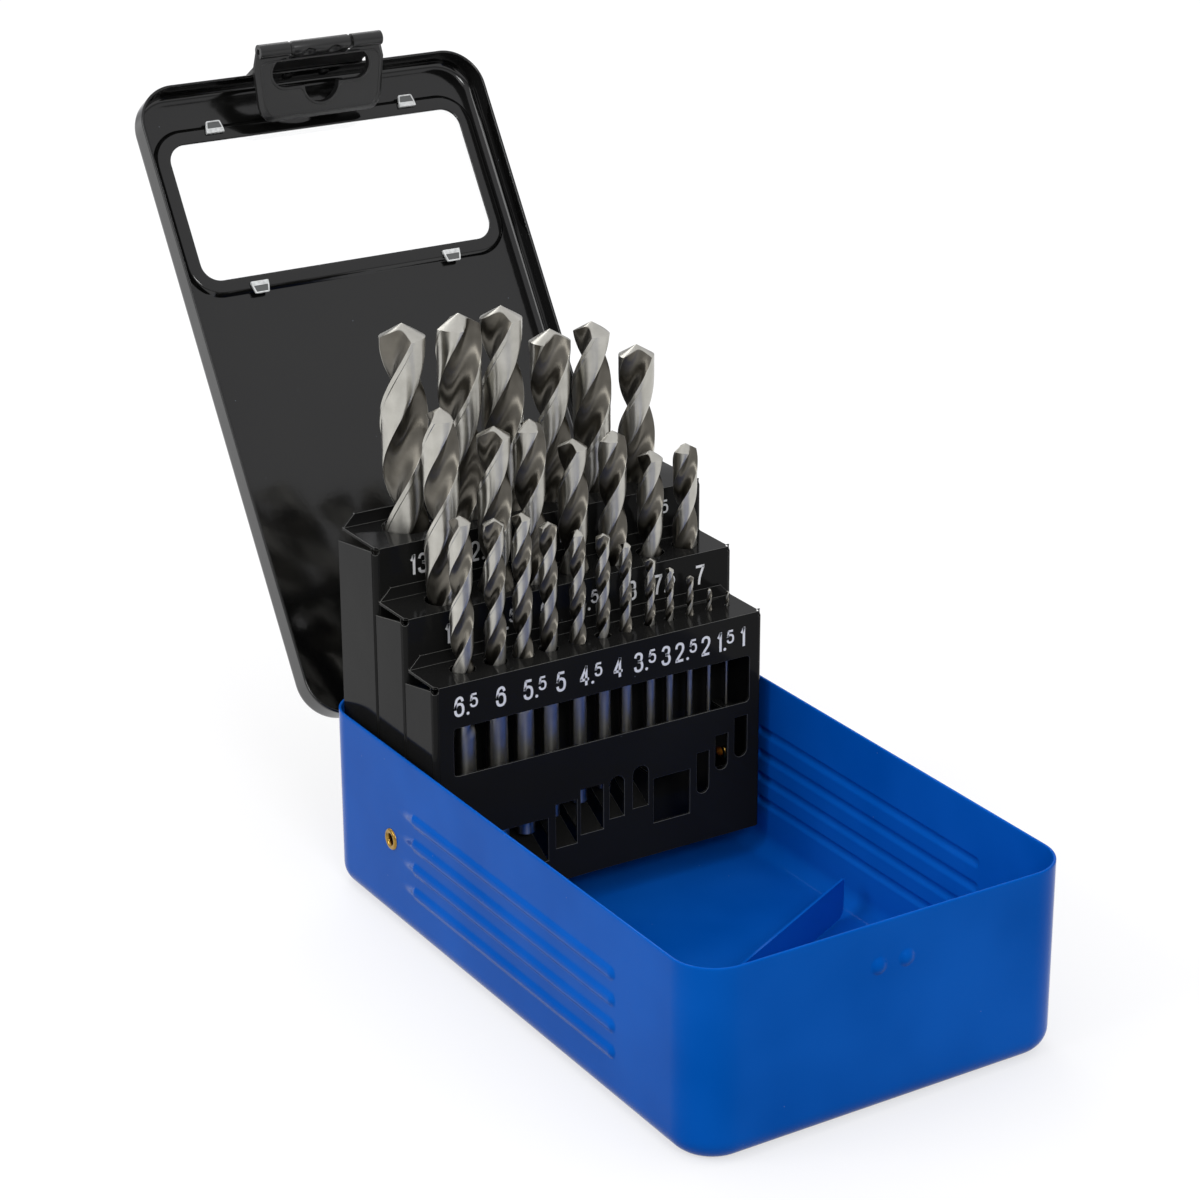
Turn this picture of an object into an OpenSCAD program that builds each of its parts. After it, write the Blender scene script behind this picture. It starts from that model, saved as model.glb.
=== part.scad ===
// Drill bit case for a 25 piece set, 1 to 13 mm in half millimetre steps.
// Frame: millimetres, +Z up, origin at the centre of the underside of the base.
// The clasp wall faces -Y, the hinge wall faces +Y and X runs to the right.
// Everything stands as it is used: lid open, rack upright, drills seated.

/* [Case] */
// Outer width of base and lid
case_w = 112; // [108:1:130]
// Outer length from clasp wall to hinge wall
case_l = 189; // [184:1:210]
// Height of the base from its underside to its rim
base_h = 53; // [50:0.5:58]
// Sheet thickness of base and lid
wall_t = 0.8; // [0.6:0.1:1]
// Upright corner radius in plan
corner_r = 12; // [9:0.5:16]
// Pressed radius round the bottom edge of the base
edge_r = 6; // [3:0.5:8]

/* [Lid] */
// Outer depth of the lid pan
lid_h = 9.2; // [8.6:0.2:12]
// Pressed radius round the lid's outer edge
lid_edge_r = 3; // [2:0.5:4]
// Gap between the closed lid and the rim of the base
rim_gap = 0.3; // [0.2:0.1:0.6]
// Angle of the open lid from closed
lid_open = 123; // [100:1:125]
// Width of the window opening
window_w = 95; // [70:1:96]
// Length of the window opening
window_l = 41.6; // [30:0.2:46]
// Corner radius of the window opening
window_r = 5.5; // [2:0.5:8]
// Middle of the window from the clasp end of the lid
window_from_front = 36.8; // [34:0.2:50]
// Width of the pressed border round the window
border_w = 3.6; // [3.2:0.1:5]
// Depth by which the border is pressed in
border_d = 1.2; // [1:0.1:1.6]
// Thickness of the clear pane
pane_t = 1; // [0.7:0.1:1]
// Width of each of the pane's four clips
clip_w = 5.5; // [3:0.5:8]
// Distance of the clips from the middle of the pane
clip_x = 31.6; // [15:0.2:38]

/* [Hinge] */
// Hinge axis below the rim of the base
hinge_drop = 5.4; // [4.5:0.1:8]
// Length of the hinge
hinge_len = 72; // [40:1:84]
// Outside diameter of the hinge barrel
barrel_d = 3.2; // [3:0.1:4]
// Diameter of the hinge pin
pin_d = 1.6; // [1.2:0.1:1.8]
// Thickness of the hinge leaves
leaf_t = 0.8; // [0.6:0.1:1]
// Height of each leaf on its wall
leaf_h = 12; // [8:0.5:16]

/* [Side walls] */
// Number of pressed ribs on each side
rib_count = 4; // [1:1:5]
// Distance from rib to rib
rib_pitch = 7.2; // [6:0.1:8]
// Height of the lowest rib
rib_z = 15.2; // [12:0.2:20]
// Width of a rib on the wall
rib_w = 3.6; // [2.5:0.1:5]
// Height by which a rib stands out
rib_out = 0.9; // [0.5:0.1:1.2]
// Rear end of the ribs from the hinge wall
rib_from_hinge = 51.7; // [48:0.5:70]
// Length of the ribs
rib_len = 98.7; // [40:0.5:100]

/* [Clasp and hanger] */
// Diameter of the two catch dimples
dimple_d = 4.5; // [3:0.1:5]
// Height by which a dimple stands out
dimple_out = 1.2; // [0.8:0.1:1.4]
// Spacing of the two dimples
dimple_pitch = 8.3; // [7:0.1:10]
// Reach of the closure tongue below the lid's edge, to its pin
tongue_drop = 11.2; // [9:0.2:14]
// Width of the closure tongue's end and its knuckle
tongue_w = 19.6; // [17:0.2:24]
// Width of the closure tongue's plate on the lid
plate_w = 36; // [26:0.5:38]
// Thickness of the closure tongue
tongue_t = 1.2; // [1:0.1:1.6]
// Diameter of the tongue's and hanger's knuckles
knuckle_d = 4.2; // [3.8:0.1:5]
// Diameter of the hanger pin
hanger_pin_d = 1.6; // [1.2:0.1:2]
// Width of the hanger at its widest
hanger_w = 42; // [38:0.5:50]
// Length of the hanger from its pin to its free edge
hanger_l = 21; // [18.5:0.5:26]
// Thickness of the hanger
hanger_t = 2.2; // [1.8:0.1:2.6]
// Width of the hanging slot
slot_w = 31.4; // [26:0.2:33]
// Height of the hanging slot
slot_h = 8.7; // [7:0.1:9]
// Diameter of the half round notch below the slot
notch_d = 11.1; // [8:0.1:12]

/* [Rack] */
// Sheet thickness of the rack
sheet_t = 0.8; // [0.6:0.1:1]
// Gap between rack and side wall, taken up by the spacers
side_gap = 3.2; // [2.4:0.1:4]
// Pivot in front of the hinge wall's outer face
pivot_inset = 38.1; // [37.6:0.1:39]
// Height of the pivot
pivot_z = 26; // [25.6:0.1:27]
// Foot of the rack below the pivot
rack_drop = 16.1; // [14:0.1:16.3]
// Front face of the front bank before the pivot
bank_front = 18.5; // [17.5:0.1:18.6]
// Step from bank to bank
bank_step = 15.6; // [15:0.1:16]
// Heights of the three bank tops above the pivot
bank_top = [49.7, 63.8, 78.6];
// Height of the turned up lip at the back of each top
lip_h = 3.5; // [2:0.1:5]
// Outer radius of the bends
bend_r = 1.6; // [1.2:0.1:2.4]
// Radius of the relief hole at each top corner
relief_r = 1.15; // [0.8:0.05:1.5]
// Fall of the side flaps' top edge towards the back
flap_fall = 4; // [0:0.5:6]
// Radial play of a drill in its hole
hole_play = 0.25; // [0.15:0.05:0.4]
// Angle of the rest tabs that lean upwards
tab_angle = 30; // [20:1:34]
// Bottom of the viewing slot above the pivot
view_z = 23.2; // [21:0.1:26]
// Height of the viewing slot
view_h = 13.9; // [8:0.1:16]

/* [Eyelets] */
// Outside diameter of an eyelet's barrel
eyelet_d = 4.4; // [4:0.1:5]
// Bore of an eyelet
eyelet_bore = 3; // [2:0.1:3.2]
// Diameter of an eyelet's rolled flange
eyelet_flange = 6.1; // [5.6:0.1:7]

/* [Drills] */
// Diameters in the front row
front_d = [6.5, 6, 5.5, 5, 4.5, 4, 3.5, 3, 2.5, 2, 1.5, 1];
// Diameters in the middle row
middle_d = [10, 9.5, 9, 8.5, 8, 7.5, 7];
// Diameters in the back row
back_d = [13, 12.5, 12, 11.5, 11, 10.5];
// Places of the front row across the rack
front_x = [-38.6, -28.5, -20.1, -12, -2.9, 5.1, 12.3, 20.2, 26.5, 33.2, 39.6, 45.6];
// Places of the middle row across the rack
middle_x = [-35.4, -19.4, -8.4, 5, 17.7, 29.9, 41.4];
// Places of the back row across the rack
back_x = [-35.6, -18.5, -5.4, 9.8, 23.1, 37.7];
// Each row behind the front face of its bank
row_y = [8.3, 8, 11.9];
// Point angle of the drills
point_angle = 118; // [110:1:140]
// Helix angle of the flutes
helix_angle = 30; // [20:1:35]

/* [Tip stop] */
// Height of the diagonal tip stop
stop_h = 12.2; // [8:0.2:13]
// Width of its foot on the floor
stop_foot = 12.3; // [8:0.1:14]
// Angle of the tip stop across the floor
stop_angle = 26.9; // [20:0.1:30]
// Length of the tip stop
stop_len = 106; // [80:1:110]
// Right end of the tip stop before the pivot
stop_from_pivot = 64; // [62:0.5:70]
// Right end of the tip stop from the side wall's outer face
stop_from_side = 7.1; // [6.5:0.1:12]

/* [Hidden] */
$fn = 48;
fit = 0.06;        // radial running fit of pins and pivots
seat = 0.05;       // radial seat of a fixed pin or eyelet
gap = 0.2;         // end gap between knuckles
eps = 0.01;

back_y = case_l / 2;                         // outer face of the hinge wall
hinge_z = base_h - hinge_drop;
pivot_y = back_y - pivot_inset;
rack_w = case_w - 2 * (wall_t + side_gap);
rack_foot = pivot_z - rack_drop;
lid_top = base_h + rim_gap + lid_h;          // of the closed lid
lid_inside = lid_top - wall_t;
// the rack's rear corners turn inside the base's rounded corners, its middle before the hinge wall
turn_gap = 0.5;
corner_in = corner_r - wall_t;
heel_r = back_y - corner_r - pivot_y - turn_gap
  + sqrt(pow(corner_in, 2) - pow(max(0, rack_w / 2 - case_w / 2 + corner_r), 2));
heel_mid = pivot_inset - wall_t - turn_gap;
flap_rear = pivot_y + min(heel_r, lid_inside - turn_gap - pivot_z);
spread = rack_w / 104;                       // drill places and tabs follow the rack's width
face_y = [for (k = [0:2]) pivot_y - bank_front + k * bank_step];
rear_y = [face_y[1], face_y[2], flap_rear];
top_z = [for (k = [0:2]) pivot_z + bank_top[k]];
dimple_r = (pow(dimple_d / 2, 2) + pow(dimple_out, 2)) / (2 * dimple_out);
rib_r = (pow(rib_w / 2, 2) + pow(rib_out, 2)) / (2 * rib_out);

// closed place of the hanger's pin, and where it stands with the lid open
tongue_gap = 0.3;
hang_y = -case_l / 2 - tongue_gap - knuckle_d / 2;
hang_z = base_h + rim_gap - tongue_drop;
function swing_y(y, z, a) = back_y + (y - back_y) * cos(a) - (z - hinge_z) * sin(a);
function swing_z(y, z, a) = hinge_z + (y - back_y) * sin(a) + (z - hinge_z) * cos(a);
hang_open_y = swing_y(hang_y, hang_z, -lid_open);
hang_open_z = swing_z(hang_y, hang_z, -lid_open);

STEEL = "#8f918c";
BLUE = "#0a4fb0";
BLACK = "#1c1c1e";

// ---------- pressed pans ----------

// Upright section through a pressed corner, from its centre outwards
module edge_section(rc, re, h) {
  translate([0, re]) square([rc, h - re]);
  square([rc - re, re]);
  intersection() {
    translate([rc - re, re]) circle(re);
    translate([rc - re, 0]) square(re);
  }
}

// Solid with rounded upright corners and a rounded bottom edge
module pan_solid(w, l, h, rc, re) {
  for (i = [0:3])
    translate([(i == 0 || i == 3 ? 1 : -1) * (w / 2 - rc), (i < 2 ? 1 : -1) * (l / 2 - rc), 0])
      rotate(90 * i) rotate_extrude(angle = 90) edge_section(rc, re, h);
  for (s = [0, 1]) {
    rotate(180 * s) translate([w / 2 - rc, 0, 0]) rotate([90, 0, 0])
      linear_extrude(l - 2 * rc, center = true) edge_section(rc, re, h);
    rotate(90 + 180 * s) translate([l / 2 - rc, 0, 0]) rotate([90, 0, 0])
      linear_extrude(w - 2 * rc, center = true) edge_section(rc, re, h);
  }
  translate([-w / 2 + rc, -l / 2 + rc, 0]) cube([w - 2 * rc, l - 2 * rc, h]);
}

module pan(w, l, h, rc, re, t) {
  difference() {
    pan_solid(w, l, h, rc, re);
    translate([0, 0, t]) pan_solid(w - 2 * t, l - 2 * t, h, rc - t, re - t);
  }
}

module round_rect(w, l, r) {
  for (a = [0, 1]) {
    square([a == 0 ? w : w - 2 * r, a == 0 ? l - 2 * r : l], center = true);
  }
  for (x = [-1, 1], y = [-1, 1]) translate([x * (w / 2 - r), y * (l / 2 - r)]) circle(r);
}

// Rod with domed ends along Y, revolved from one profile
module capsule(r, len, n = 5) {
  translate([0, len / 2, 0]) rotate([90, 0, 0]) rotate_extrude()
    polygon(concat([[0, 0]], [for (i = [1:n]) [r * sin(90 * i / n), r - r * cos(90 * i / n)]],
      [for (i = [n:-1:1]) [r * sin(90 * i / n), len - r + r * cos(90 * i / n)]], [[0, len]]));
}

// Extrudes a profile drawn in Y and Z along X, centred
module along_x(w) { rotate([90, 0, 90]) linear_extrude(w, center = true) children(); }

// ---------- base ----------

module rib_places() {
  for (s = [-1, 1], i = [0:rib_count - 1])
    translate([s * (case_w / 2 + rib_out - rib_r), back_y - rib_from_hinge - rib_len / 2,
      rib_z + i * rib_pitch]) children();
}

module dimple_places() {
  for (s = [-1, 1]) translate([s * dimple_pitch / 2, -case_l / 2 - dimple_out + dimple_r, hang_z - 0.9])
    children();
}

module base_shell() {
  color(BLUE) difference() {
    union() {
      pan(case_w, case_l, base_h, corner_r, edge_r, wall_t);
      intersection() {
        rib_places() capsule(rib_r, rib_len);
        for (s = [-1, 1]) translate([s * (case_w / 2 + 3 - wall_t / 2), 0, base_h / 2])
          cube([6, case_l - 2 * corner_r, base_h - 2 * edge_r + 8], center = true);
      }
      intersection() {
        dimple_places() sphere(dimple_r);
        translate([0, -case_l / 2 - 3 + wall_t / 2, base_h / 2]) cube([40, 6, base_h], center = true);
      }
    }
    rib_places() capsule(rib_r - wall_t, rib_len - 2 * wall_t);
    dimple_places() sphere(dimple_r - wall_t);
    for (s = [-1, 1]) translate([s * case_w / 2, pivot_y, pivot_z]) rotate([0, 90, 0])
      cylinder(h = 4, d = eyelet_d + 2 * seat, center = true);
    // slot in which the half sunk hinge barrel lies
    translate([0, back_y, hinge_z])
      cube([hinge_len + 2, 4 * wall_t, barrel_d + 0.7], center = true);
  }
}

module tip_stop() {
  color(BLUE) translate([case_w / 2 - stop_from_side, pivot_y - stop_from_pivot, wall_t]) rotate(180 + stop_angle) {
    // upright plate, its near lower corner rounded and clear of the floor
    rotate([90, 0, 0]) linear_extrude(wall_t) difference() {
      translate([0, 0]) square([stop_len, stop_h]);
      translate([-1, -1]) square([18.2, 1.8]);
      difference() {
        translate([-1, 0]) square([4, 3.8]);
        translate([3, 3.8]) circle(3);
      }
    }
    mirror([0, 1, 0]) linear_extrude(wall_t)
      polygon([[17.2, 0], [19.5, stop_foot], [stop_len - 3, stop_foot], [stop_len, stop_foot - 4],
        [stop_len, 0]]);
  }
}

// ---------- hinge ----------

knuckles = 5;
knuckle_len = hinge_len / knuckles;

module barrel(i, bore) {
  translate([-hinge_len / 2 + i * knuckle_len + gap / 2, 0, 0]) rotate([0, 90, 0]) difference() {
    cylinder(h = knuckle_len - gap, d = barrel_d);
    translate([0, 0, -1]) cylinder(h = knuckle_len + 2, d = bore);
  }
}

// Leaf on the outer face of a wall, running up (side 1) or down (side -1) from the axis
module leaf(first, side, reach, bore) {
  difference() {
    union() {
      for (i = [first:2:knuckles - 1]) {
        barrel(i, bore);
        translate([-hinge_len / 2 + i * knuckle_len + gap / 2, 0, side > 0 ? 0 : -barrel_d / 2 - 1])
          cube([knuckle_len - gap, leaf_t, barrel_d / 2 + 1]);
      }
      translate([-hinge_len / 2, 0, side > 0 ? barrel_d / 2 + 0.35 : -reach])
        cube([hinge_len, leaf_t, reach - barrel_d / 2 - 0.35]);
    }
    rotate([0, 90, 0]) cylinder(h = hinge_len + 2, d = bore, center = true);
  }
}

module hinge_leaf_base() {
  color(BLUE) translate([0, back_y, hinge_z]) leaf(0, -1, leaf_h + 2, pin_d + 2 * seat);
}

module hinge_leaf_lid() {
  color(BLACK) opened() translate([0, back_y, hinge_z])
    leaf(1, 1, min(leaf_h, lid_top - lid_edge_r - hinge_z), pin_d + 2 * fit);
}

module hinge_pin() {
  color(STEEL) translate([0, back_y, hinge_z]) rotate([0, 90, 0])
    cylinder(h = hinge_len + 1.2, d = pin_d, center = true);
}

// ---------- lid, drawn closed and then swung open ----------

module opened() {
  translate([0, back_y, hinge_z]) rotate([-lid_open, 0, 0]) translate([0, -back_y, -hinge_z])
    children();
}

window_y = -case_l / 2 + window_from_front;
clip_y = window_l / 2 + 2.6;    // middle of a clip's slot from the middle of the window
rivet_z = base_h + rim_gap + 3.1;
rivet_x = 6;

module clip_places() {
  for (x = [-1, 1], s = [-1, 1]) translate([x * clip_x, window_y + s * clip_y, 0])
    rotate(s > 0 ? 0 : 180) children();
}

module lid_shell() {
  bw = window_w + 2 * border_w;
  bl = window_l + 2 * border_w;
  color(BLACK) opened() difference() {
    union() {
      difference() {
        translate([0, 0, lid_top]) mirror([0, 0, 1])
          pan(case_w, case_l, lid_h, corner_r, lid_edge_r, wall_t);
        translate([0, window_y, lid_inside - 1]) linear_extrude(wall_t + 2)
          round_rect(bw + wall_t, bl + wall_t, window_r + border_w + wall_t / 2);
      }
      // pressed border that the pane sits in
      translate([0, window_y, lid_top - border_d - wall_t]) linear_extrude(border_d + wall_t)
        round_rect(bw + 2 * wall_t, bl + 2 * wall_t, window_r + border_w + wall_t);
    }
    translate([0, window_y, lid_top - border_d]) linear_extrude(border_d + 1)
      round_rect(bw, bl, window_r + border_w);
    translate([0, window_y, lid_top - 6]) linear_extrude(8) round_rect(window_w, window_l, window_r);
    clip_places() translate([0, 0, lid_top - border_d]) cube([clip_w + 0.5, 1.4, 6], center = true);
    for (s = [-1, 1]) translate([s * rivet_x, -case_l / 2, rivet_z]) rotate([90, 0, 0])
      cylinder(h = 4, r = 1 + seat, center = true);
  }
}

module window_pane() {
  play = 0.2;
  tray = lid_top - border_d;
  color("#dfe6ea", 0.35) opened() {
    difference() {
      translate([0, window_y, tray]) linear_extrude(pane_t)
        round_rect(window_w + 2 * (border_w - play), window_l + 2 * (border_w - play),
          window_r + border_w - play);
    }
    clip_places() {
      translate([-clip_w / 2, -0.5, tray - wall_t - 1]) cube([clip_w, 1, wall_t + 1 + pane_t / 2]);
      translate([0, 0, tray - wall_t - 1]) linear_extrude(0.8)
        polygon([[-clip_w / 2, 0], [clip_w / 2, 0], [clip_w / 2, 1], [clip_w / 2 - 0.6, 3.2],
          [-clip_w / 2 + 0.6, 3.2], [-clip_w / 2, 1]]);
    }
  }
}

// ---------- closure tongue and hanger ----------

module closure_tongue() {
  top = lid_top - lid_edge_r - 0.1;
  shoulder = hang_z + knuckle_d / 2 + hanger_t;    // beyond the swing of the hanger's plate
  y0 = -case_l / 2;
  color(BLACK) opened() difference() {
    union() {
      along_x(plate_w)
        polygon([[y0, top], [y0 - 1, top], [y0 - tongue_gap - tongue_t, top - 1],
          [y0 - tongue_gap - tongue_t, shoulder], [y0 - tongue_gap, shoulder],
          [y0 - tongue_gap, base_h + rim_gap], [y0, base_h + rim_gap]]);
      along_x(tongue_w) {
        translate([y0 - tongue_gap - tongue_t, hang_z]) square([tongue_t, shoulder - hang_z + eps]);
        translate([hang_y, hang_z]) circle(d = knuckle_d);
      }
    }
    // bevels at the ends of the knuckle
    for (s = [-1, 1]) translate([s * tongue_w / 2, hang_y, hang_z]) rotate([0, -90 * s, 0])
      rotate_extrude() polygon([[knuckle_d / 2 - 0.5, -1], [knuckle_d / 2 - 0.5, 0],
        [knuckle_d / 2, 0.9], [knuckle_d / 2 + 2, 0.9], [knuckle_d / 2 + 2, -1]]);
    translate([0, hang_y, hang_z]) rotate([0, 90, 0])
      cylinder(h = tongue_w + 2, d = hanger_pin_d + 2 * seat, center = true);
    dimple_places() sphere(dimple_r + 0.15);
    for (s = [-1, 1]) translate([s * rivet_x, y0, rivet_z]) rotate([90, 0, 0])
      cylinder(h = 8, r = 1 + seat, center = true);
  }
}

module tongue_rivet(s) {
  color(STEEL) opened() translate([s * rivet_x, -case_l / 2, rivet_z]) rotate([90, 0, 0])
    rotate_extrude() polygon([[0, -wall_t - 0.6], [1.4, -wall_t - 0.6], [1.7, -wall_t],
      [1, -wall_t], [1, tongue_gap + tongue_t], [1.8, tongue_gap + tongue_t],
      [1.6, tongue_gap + tongue_t + 0.5], [1, tongue_gap + tongue_t + 0.9],
      [0, tongue_gap + tongue_t + 1]]);
}

hanger_end = (hanger_w - 2.4) / 2;       // half width at the knuckles
module hanger_pin() {
  color(STEEL) translate([0, hang_open_y, hang_open_z]) rotate([0, 90, 0])
    cylinder(h = 2 * hanger_end - 1, d = hanger_pin_d, center = true);
}

// Outline of the hanger in X and Z, below its pin
module hanger_outline(inset) {
  w = hanger_w / 2 - inset;
  polygon([[-w + 1.2, 0], [-w, -5.5], [-w + 1.1, -hanger_l + 4.5], [-w + 1.8, -hanger_l + 2.2 + inset],
    [-w + 3.4, -hanger_l + 0.5 + inset], [-w + 5, -hanger_l + inset], [w - 5, -hanger_l + inset],
    [w - 3.4, -hanger_l + 0.5 + inset], [w - 1.8, -hanger_l + 2.2 + inset],
    [w - 1.1, -hanger_l + 4.5], [w, -5.5], [w - 1.2, 0]]);
}

module hanger() {
  clear = tongue_w / 2 + 0.4;
  color(BLACK) translate([0, hang_open_y, hang_open_z]) difference() {
    union() {
      // plate with a bevelled front edge
      rotate([90, 0, 0]) translate([0, 0, -hanger_t + 0.4]) hull() {
        linear_extrude(hanger_t - 0.9) hanger_outline(0);
        linear_extrude(hanger_t) hanger_outline(1.1);
      }
      for (s = [-1, 1]) translate([s * (hanger_end + clear) / 2, 0, 0]) rotate([0, 90, 0])
        cylinder(h = hanger_end - clear, d = knuckle_d, center = true);
    }
    translate([-clear, -10, -knuckle_d / 2 - 0.45]) cube([2 * clear, 20, 10]);
    rotate([90, 0, 0]) linear_extrude(20, center = true) {
      translate([0, -knuckle_d / 2 - 0.4 - slot_h / 2]) {
        square([slot_w - slot_h, slot_h], center = true);
        for (s = [-1, 1]) translate([s * (slot_w - slot_h) / 2, 0]) circle(d = slot_h);
        translate([0, -slot_h / 2]) circle(d = notch_d);
      }
    }
    rotate([0, 90, 0]) cylinder(h = hanger_w + 2, d = hanger_pin_d + 2 * fit, center = true);
  }
}

// ---------- pivot ----------

module eyelet(s) {
  r = eyelet_d / 2;
  f = eyelet_flange / 2;
  b = eyelet_bore / 2;
  out = wall_t;                               // depths are measured inwards from the outer face
  inner = wall_t + side_gap + sheet_t + 0.15;
  color("#b8923a") translate([s * case_w / 2, pivot_y, pivot_z]) rotate([0, s * 90, 0])
    rotate_extrude() polygon([[b, -inner - 0.6], [b, -0.2], [b + 0.15, 0.2], [b + 0.5, 0.52],
      [b + 0.9, 0.62], [f - 0.35, 0.5], [f - 0.08, 0.28], [f, 0], [r, 0], [r, -inner],
      [f - 0.5, -inner], [f - 0.6, -inner - 0.35], [f - 0.9, -inner - 0.6]]);
}

module spacer(s) {
  len = side_gap - 0.15;
  color(STEEL) translate([s * (case_w / 2 - wall_t - len / 2), pivot_y, pivot_z]) rotate([0, 90, 0])
    difference() {
      cylinder(h = len, d = eyelet_d + 2.6, center = true);
      cylinder(h = len + 1, d = eyelet_d + 2 * seat, center = true);
    }
}

// ---------- rack ----------

// Bent channel of one bank in plan: front face and two side flaps
module channel(k, foot) {
  w = rack_w;
  d = rear_y[k] - face_y[k];
  translate([0, face_y[k], foot]) linear_extrude(top_z[k] - foot) difference() {
    union() {
      translate([-w / 2 + bend_r, 0]) square([w - 2 * bend_r, d]);
      for (s = [-1, 1]) {
        translate([s * (w / 2 - bend_r), bend_r]) circle(bend_r);
        translate([s > 0 ? w / 2 - bend_r : -w / 2, bend_r]) square([bend_r, d - bend_r]);
      }
    }
    translate([-w / 2 + sheet_t, bend_r]) square([w - 2 * sheet_t, d]);
    translate([-w / 2 + bend_r, sheet_t]) square([w - 2 * bend_r, d]);
    for (s = [-1, 1]) translate([s * (w / 2 - bend_r), bend_r]) circle(bend_r - sheet_t);
  }
}

// One bank: channel, top with drill holes, and the lip behind it
module bank(k, ds, xs, foot) {
  w = rack_w;
  d = rear_y[k] - face_y[k];
  lip_y = rear_y[k] - (k == 2 ? sheet_t : 0);
  difference() {
    union() {
      difference() {
        channel(k, foot);
        // side flaps fall away towards the back, clear of the top
        translate([0, face_y[k], top_z[k]]) rotate([90, 0, 90])
          linear_extrude(w + 2, center = true)
            polygon([[sheet_t + 1, eps], [sheet_t + 1, -sheet_t - 0.25], [d + 1, -flap_fall],
              [d + 1, eps]]);
      }
      translate([-w / 2 + sheet_t + 0.1, face_y[k] + sheet_t / 2, top_z[k] - sheet_t])
        cube([w - 2 * sheet_t - 0.2, lip_y - face_y[k] - sheet_t / 2, sheet_t]);
      translate([0, lip_y - sheet_t / 2, top_z[k]]) rotate([90, 0, 0])
        linear_extrude(sheet_t, center = true)
          polygon([[-w / 2 + sheet_t + 0.1, -sheet_t / 2], [w / 2 - sheet_t - 0.1, -sheet_t / 2],
            [w / 2 - sheet_t - 0.1, 0], [w / 2 - lip_h - sheet_t, lip_h],
            [-w / 2 + lip_h + sheet_t, lip_h], [-w / 2 + sheet_t + 0.1, 0]]);
    }
    for (i = [0:len(ds) - 1]) translate([spread * xs[i], face_y[k] + row_y[k], top_z[k] - 3])
      cylinder(h = 6, r = ds[i] / 2 + hole_play);
    for (s = [-1, 1]) translate([s * (w / 2 - 0.7), face_y[k] + 0.7, top_z[k] - 0.7])
      sphere(relief_r);
  }
}

// Rest tabs lanced out of the front face: middle, width, height of the bend above the
// foot of the rack, length, leaning up from its lower edge (1) or level from its upper (0),
// and whether its free end is round
TABS = [[-38.6, 8, 1.6, 12.6, 1, 0], [-25.1, 14.9, 7.1, 12.9, 1, 0], [-11.9, 6.8, 10.1, 13.2, 1, 0],
  [-3.7, 7.3, 12.2, 13.6, 1, 0], [4.3, 4.8, 14.6, 12.5, 1, 1], [12, 5.2, 15.8, 12.5, 1, 1],
  [22.2, 12, 23.3, 13.6, 0, 0], [32.5, 4.1, 27.5, 12.7, 0, 1], [38.7, 4.2, 31.3, 10.8, 0, 1],
  [45.1, 4.3, 35.3, 12.4, 0, 1]];
TAB_OF = [0, 1, 1, 2, 3, 4, 5, 6, 6, 7, 8, 9];      // tab under each drill of the front row

module tab_shape(w, l, rounded) {
  if (rounded == 1) {
    translate([-w / 2, 0]) square([w, l - w / 2]);
    translate([0, l - w / 2]) circle(w / 2);
  } else translate([-w / 2, 0]) square([w, l]);
}

module front_bank() {
  color(BLACK) {
    difference() {
      bank(0, front_d, front_x, rack_foot);
      // viewing slot for the shanks
      translate([0.75, face_y[0], pivot_z + view_z + view_h / 2]) rotate([90, 0, 0])
        linear_extrude(6, center = true) round_rect(rack_w - 9.9, view_h, 1.2);
      for (t = TABS) translate([spread * t[0], face_y[0], rack_foot + t[2]]) rotate([90, 0, 0])
        linear_extrude(6, center = true) mirror([0, 1 - t[4]]) tab_shape(t[1], t[3], t[5]);
    }
    for (t = TABS) translate([spread * t[0], face_y[0] + sheet_t / 2, rack_foot + t[2]])
      if (t[4] == 1) rotate([tab_angle, 0, 0]) translate([0, 0, -sheet_t])
        linear_extrude(sheet_t) tab_shape(t[1] - 0.2, t[3], t[5]);
      else linear_extrude(sheet_t) tab_shape(t[1] - 0.2, t[3], t[5]);
  }
}

module pivot_holes() {
  for (s = [-1, 1]) translate([s * rack_w / 2, pivot_y, pivot_z]) rotate([0, 90, 0])
    cylinder(h = 4, d = eyelet_d + 2 * fit, center = true);
}

module middle_bank() {
  color(BLACK) difference() {
    bank(1, middle_d, middle_x, rack_foot);
    pivot_holes();
    // the front face is cut back round the eyelets' inner flanges
    for (s = [-1, 1]) translate([s * (rack_w / 2 - sheet_t - 3), pivot_y, pivot_z])
      rotate([0, 90, 0]) cylinder(h = 6, r = 4.2, center = true);
  }
}

module back_bank() {
  color(BLACK) intersection() {
    difference() {
      bank(2, back_d, back_x, rack_foot);
      // the front face stands on the rest plate
      translate([-rack_w / 2 + sheet_t, face_y[2] - 1, rack_foot - 1])
        cube([rack_w - 2 * sheet_t, 4, sheet_t + 1]);
    }
    // heel trimmed so that the rack can turn before the hinge wall
    union() {
      translate([0, pivot_y, pivot_z]) rotate([0, 90, 0])
        cylinder(h = rack_w + 2, r = heel_r, center = true);
      translate([-rack_w / 2 - 1, face_y[2] - 1, pivot_z])
        cube([rack_w + 2, flap_rear - face_y[2] + 2, bank_top[2] + lip_h + 1]);
    }
  }
}

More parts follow.
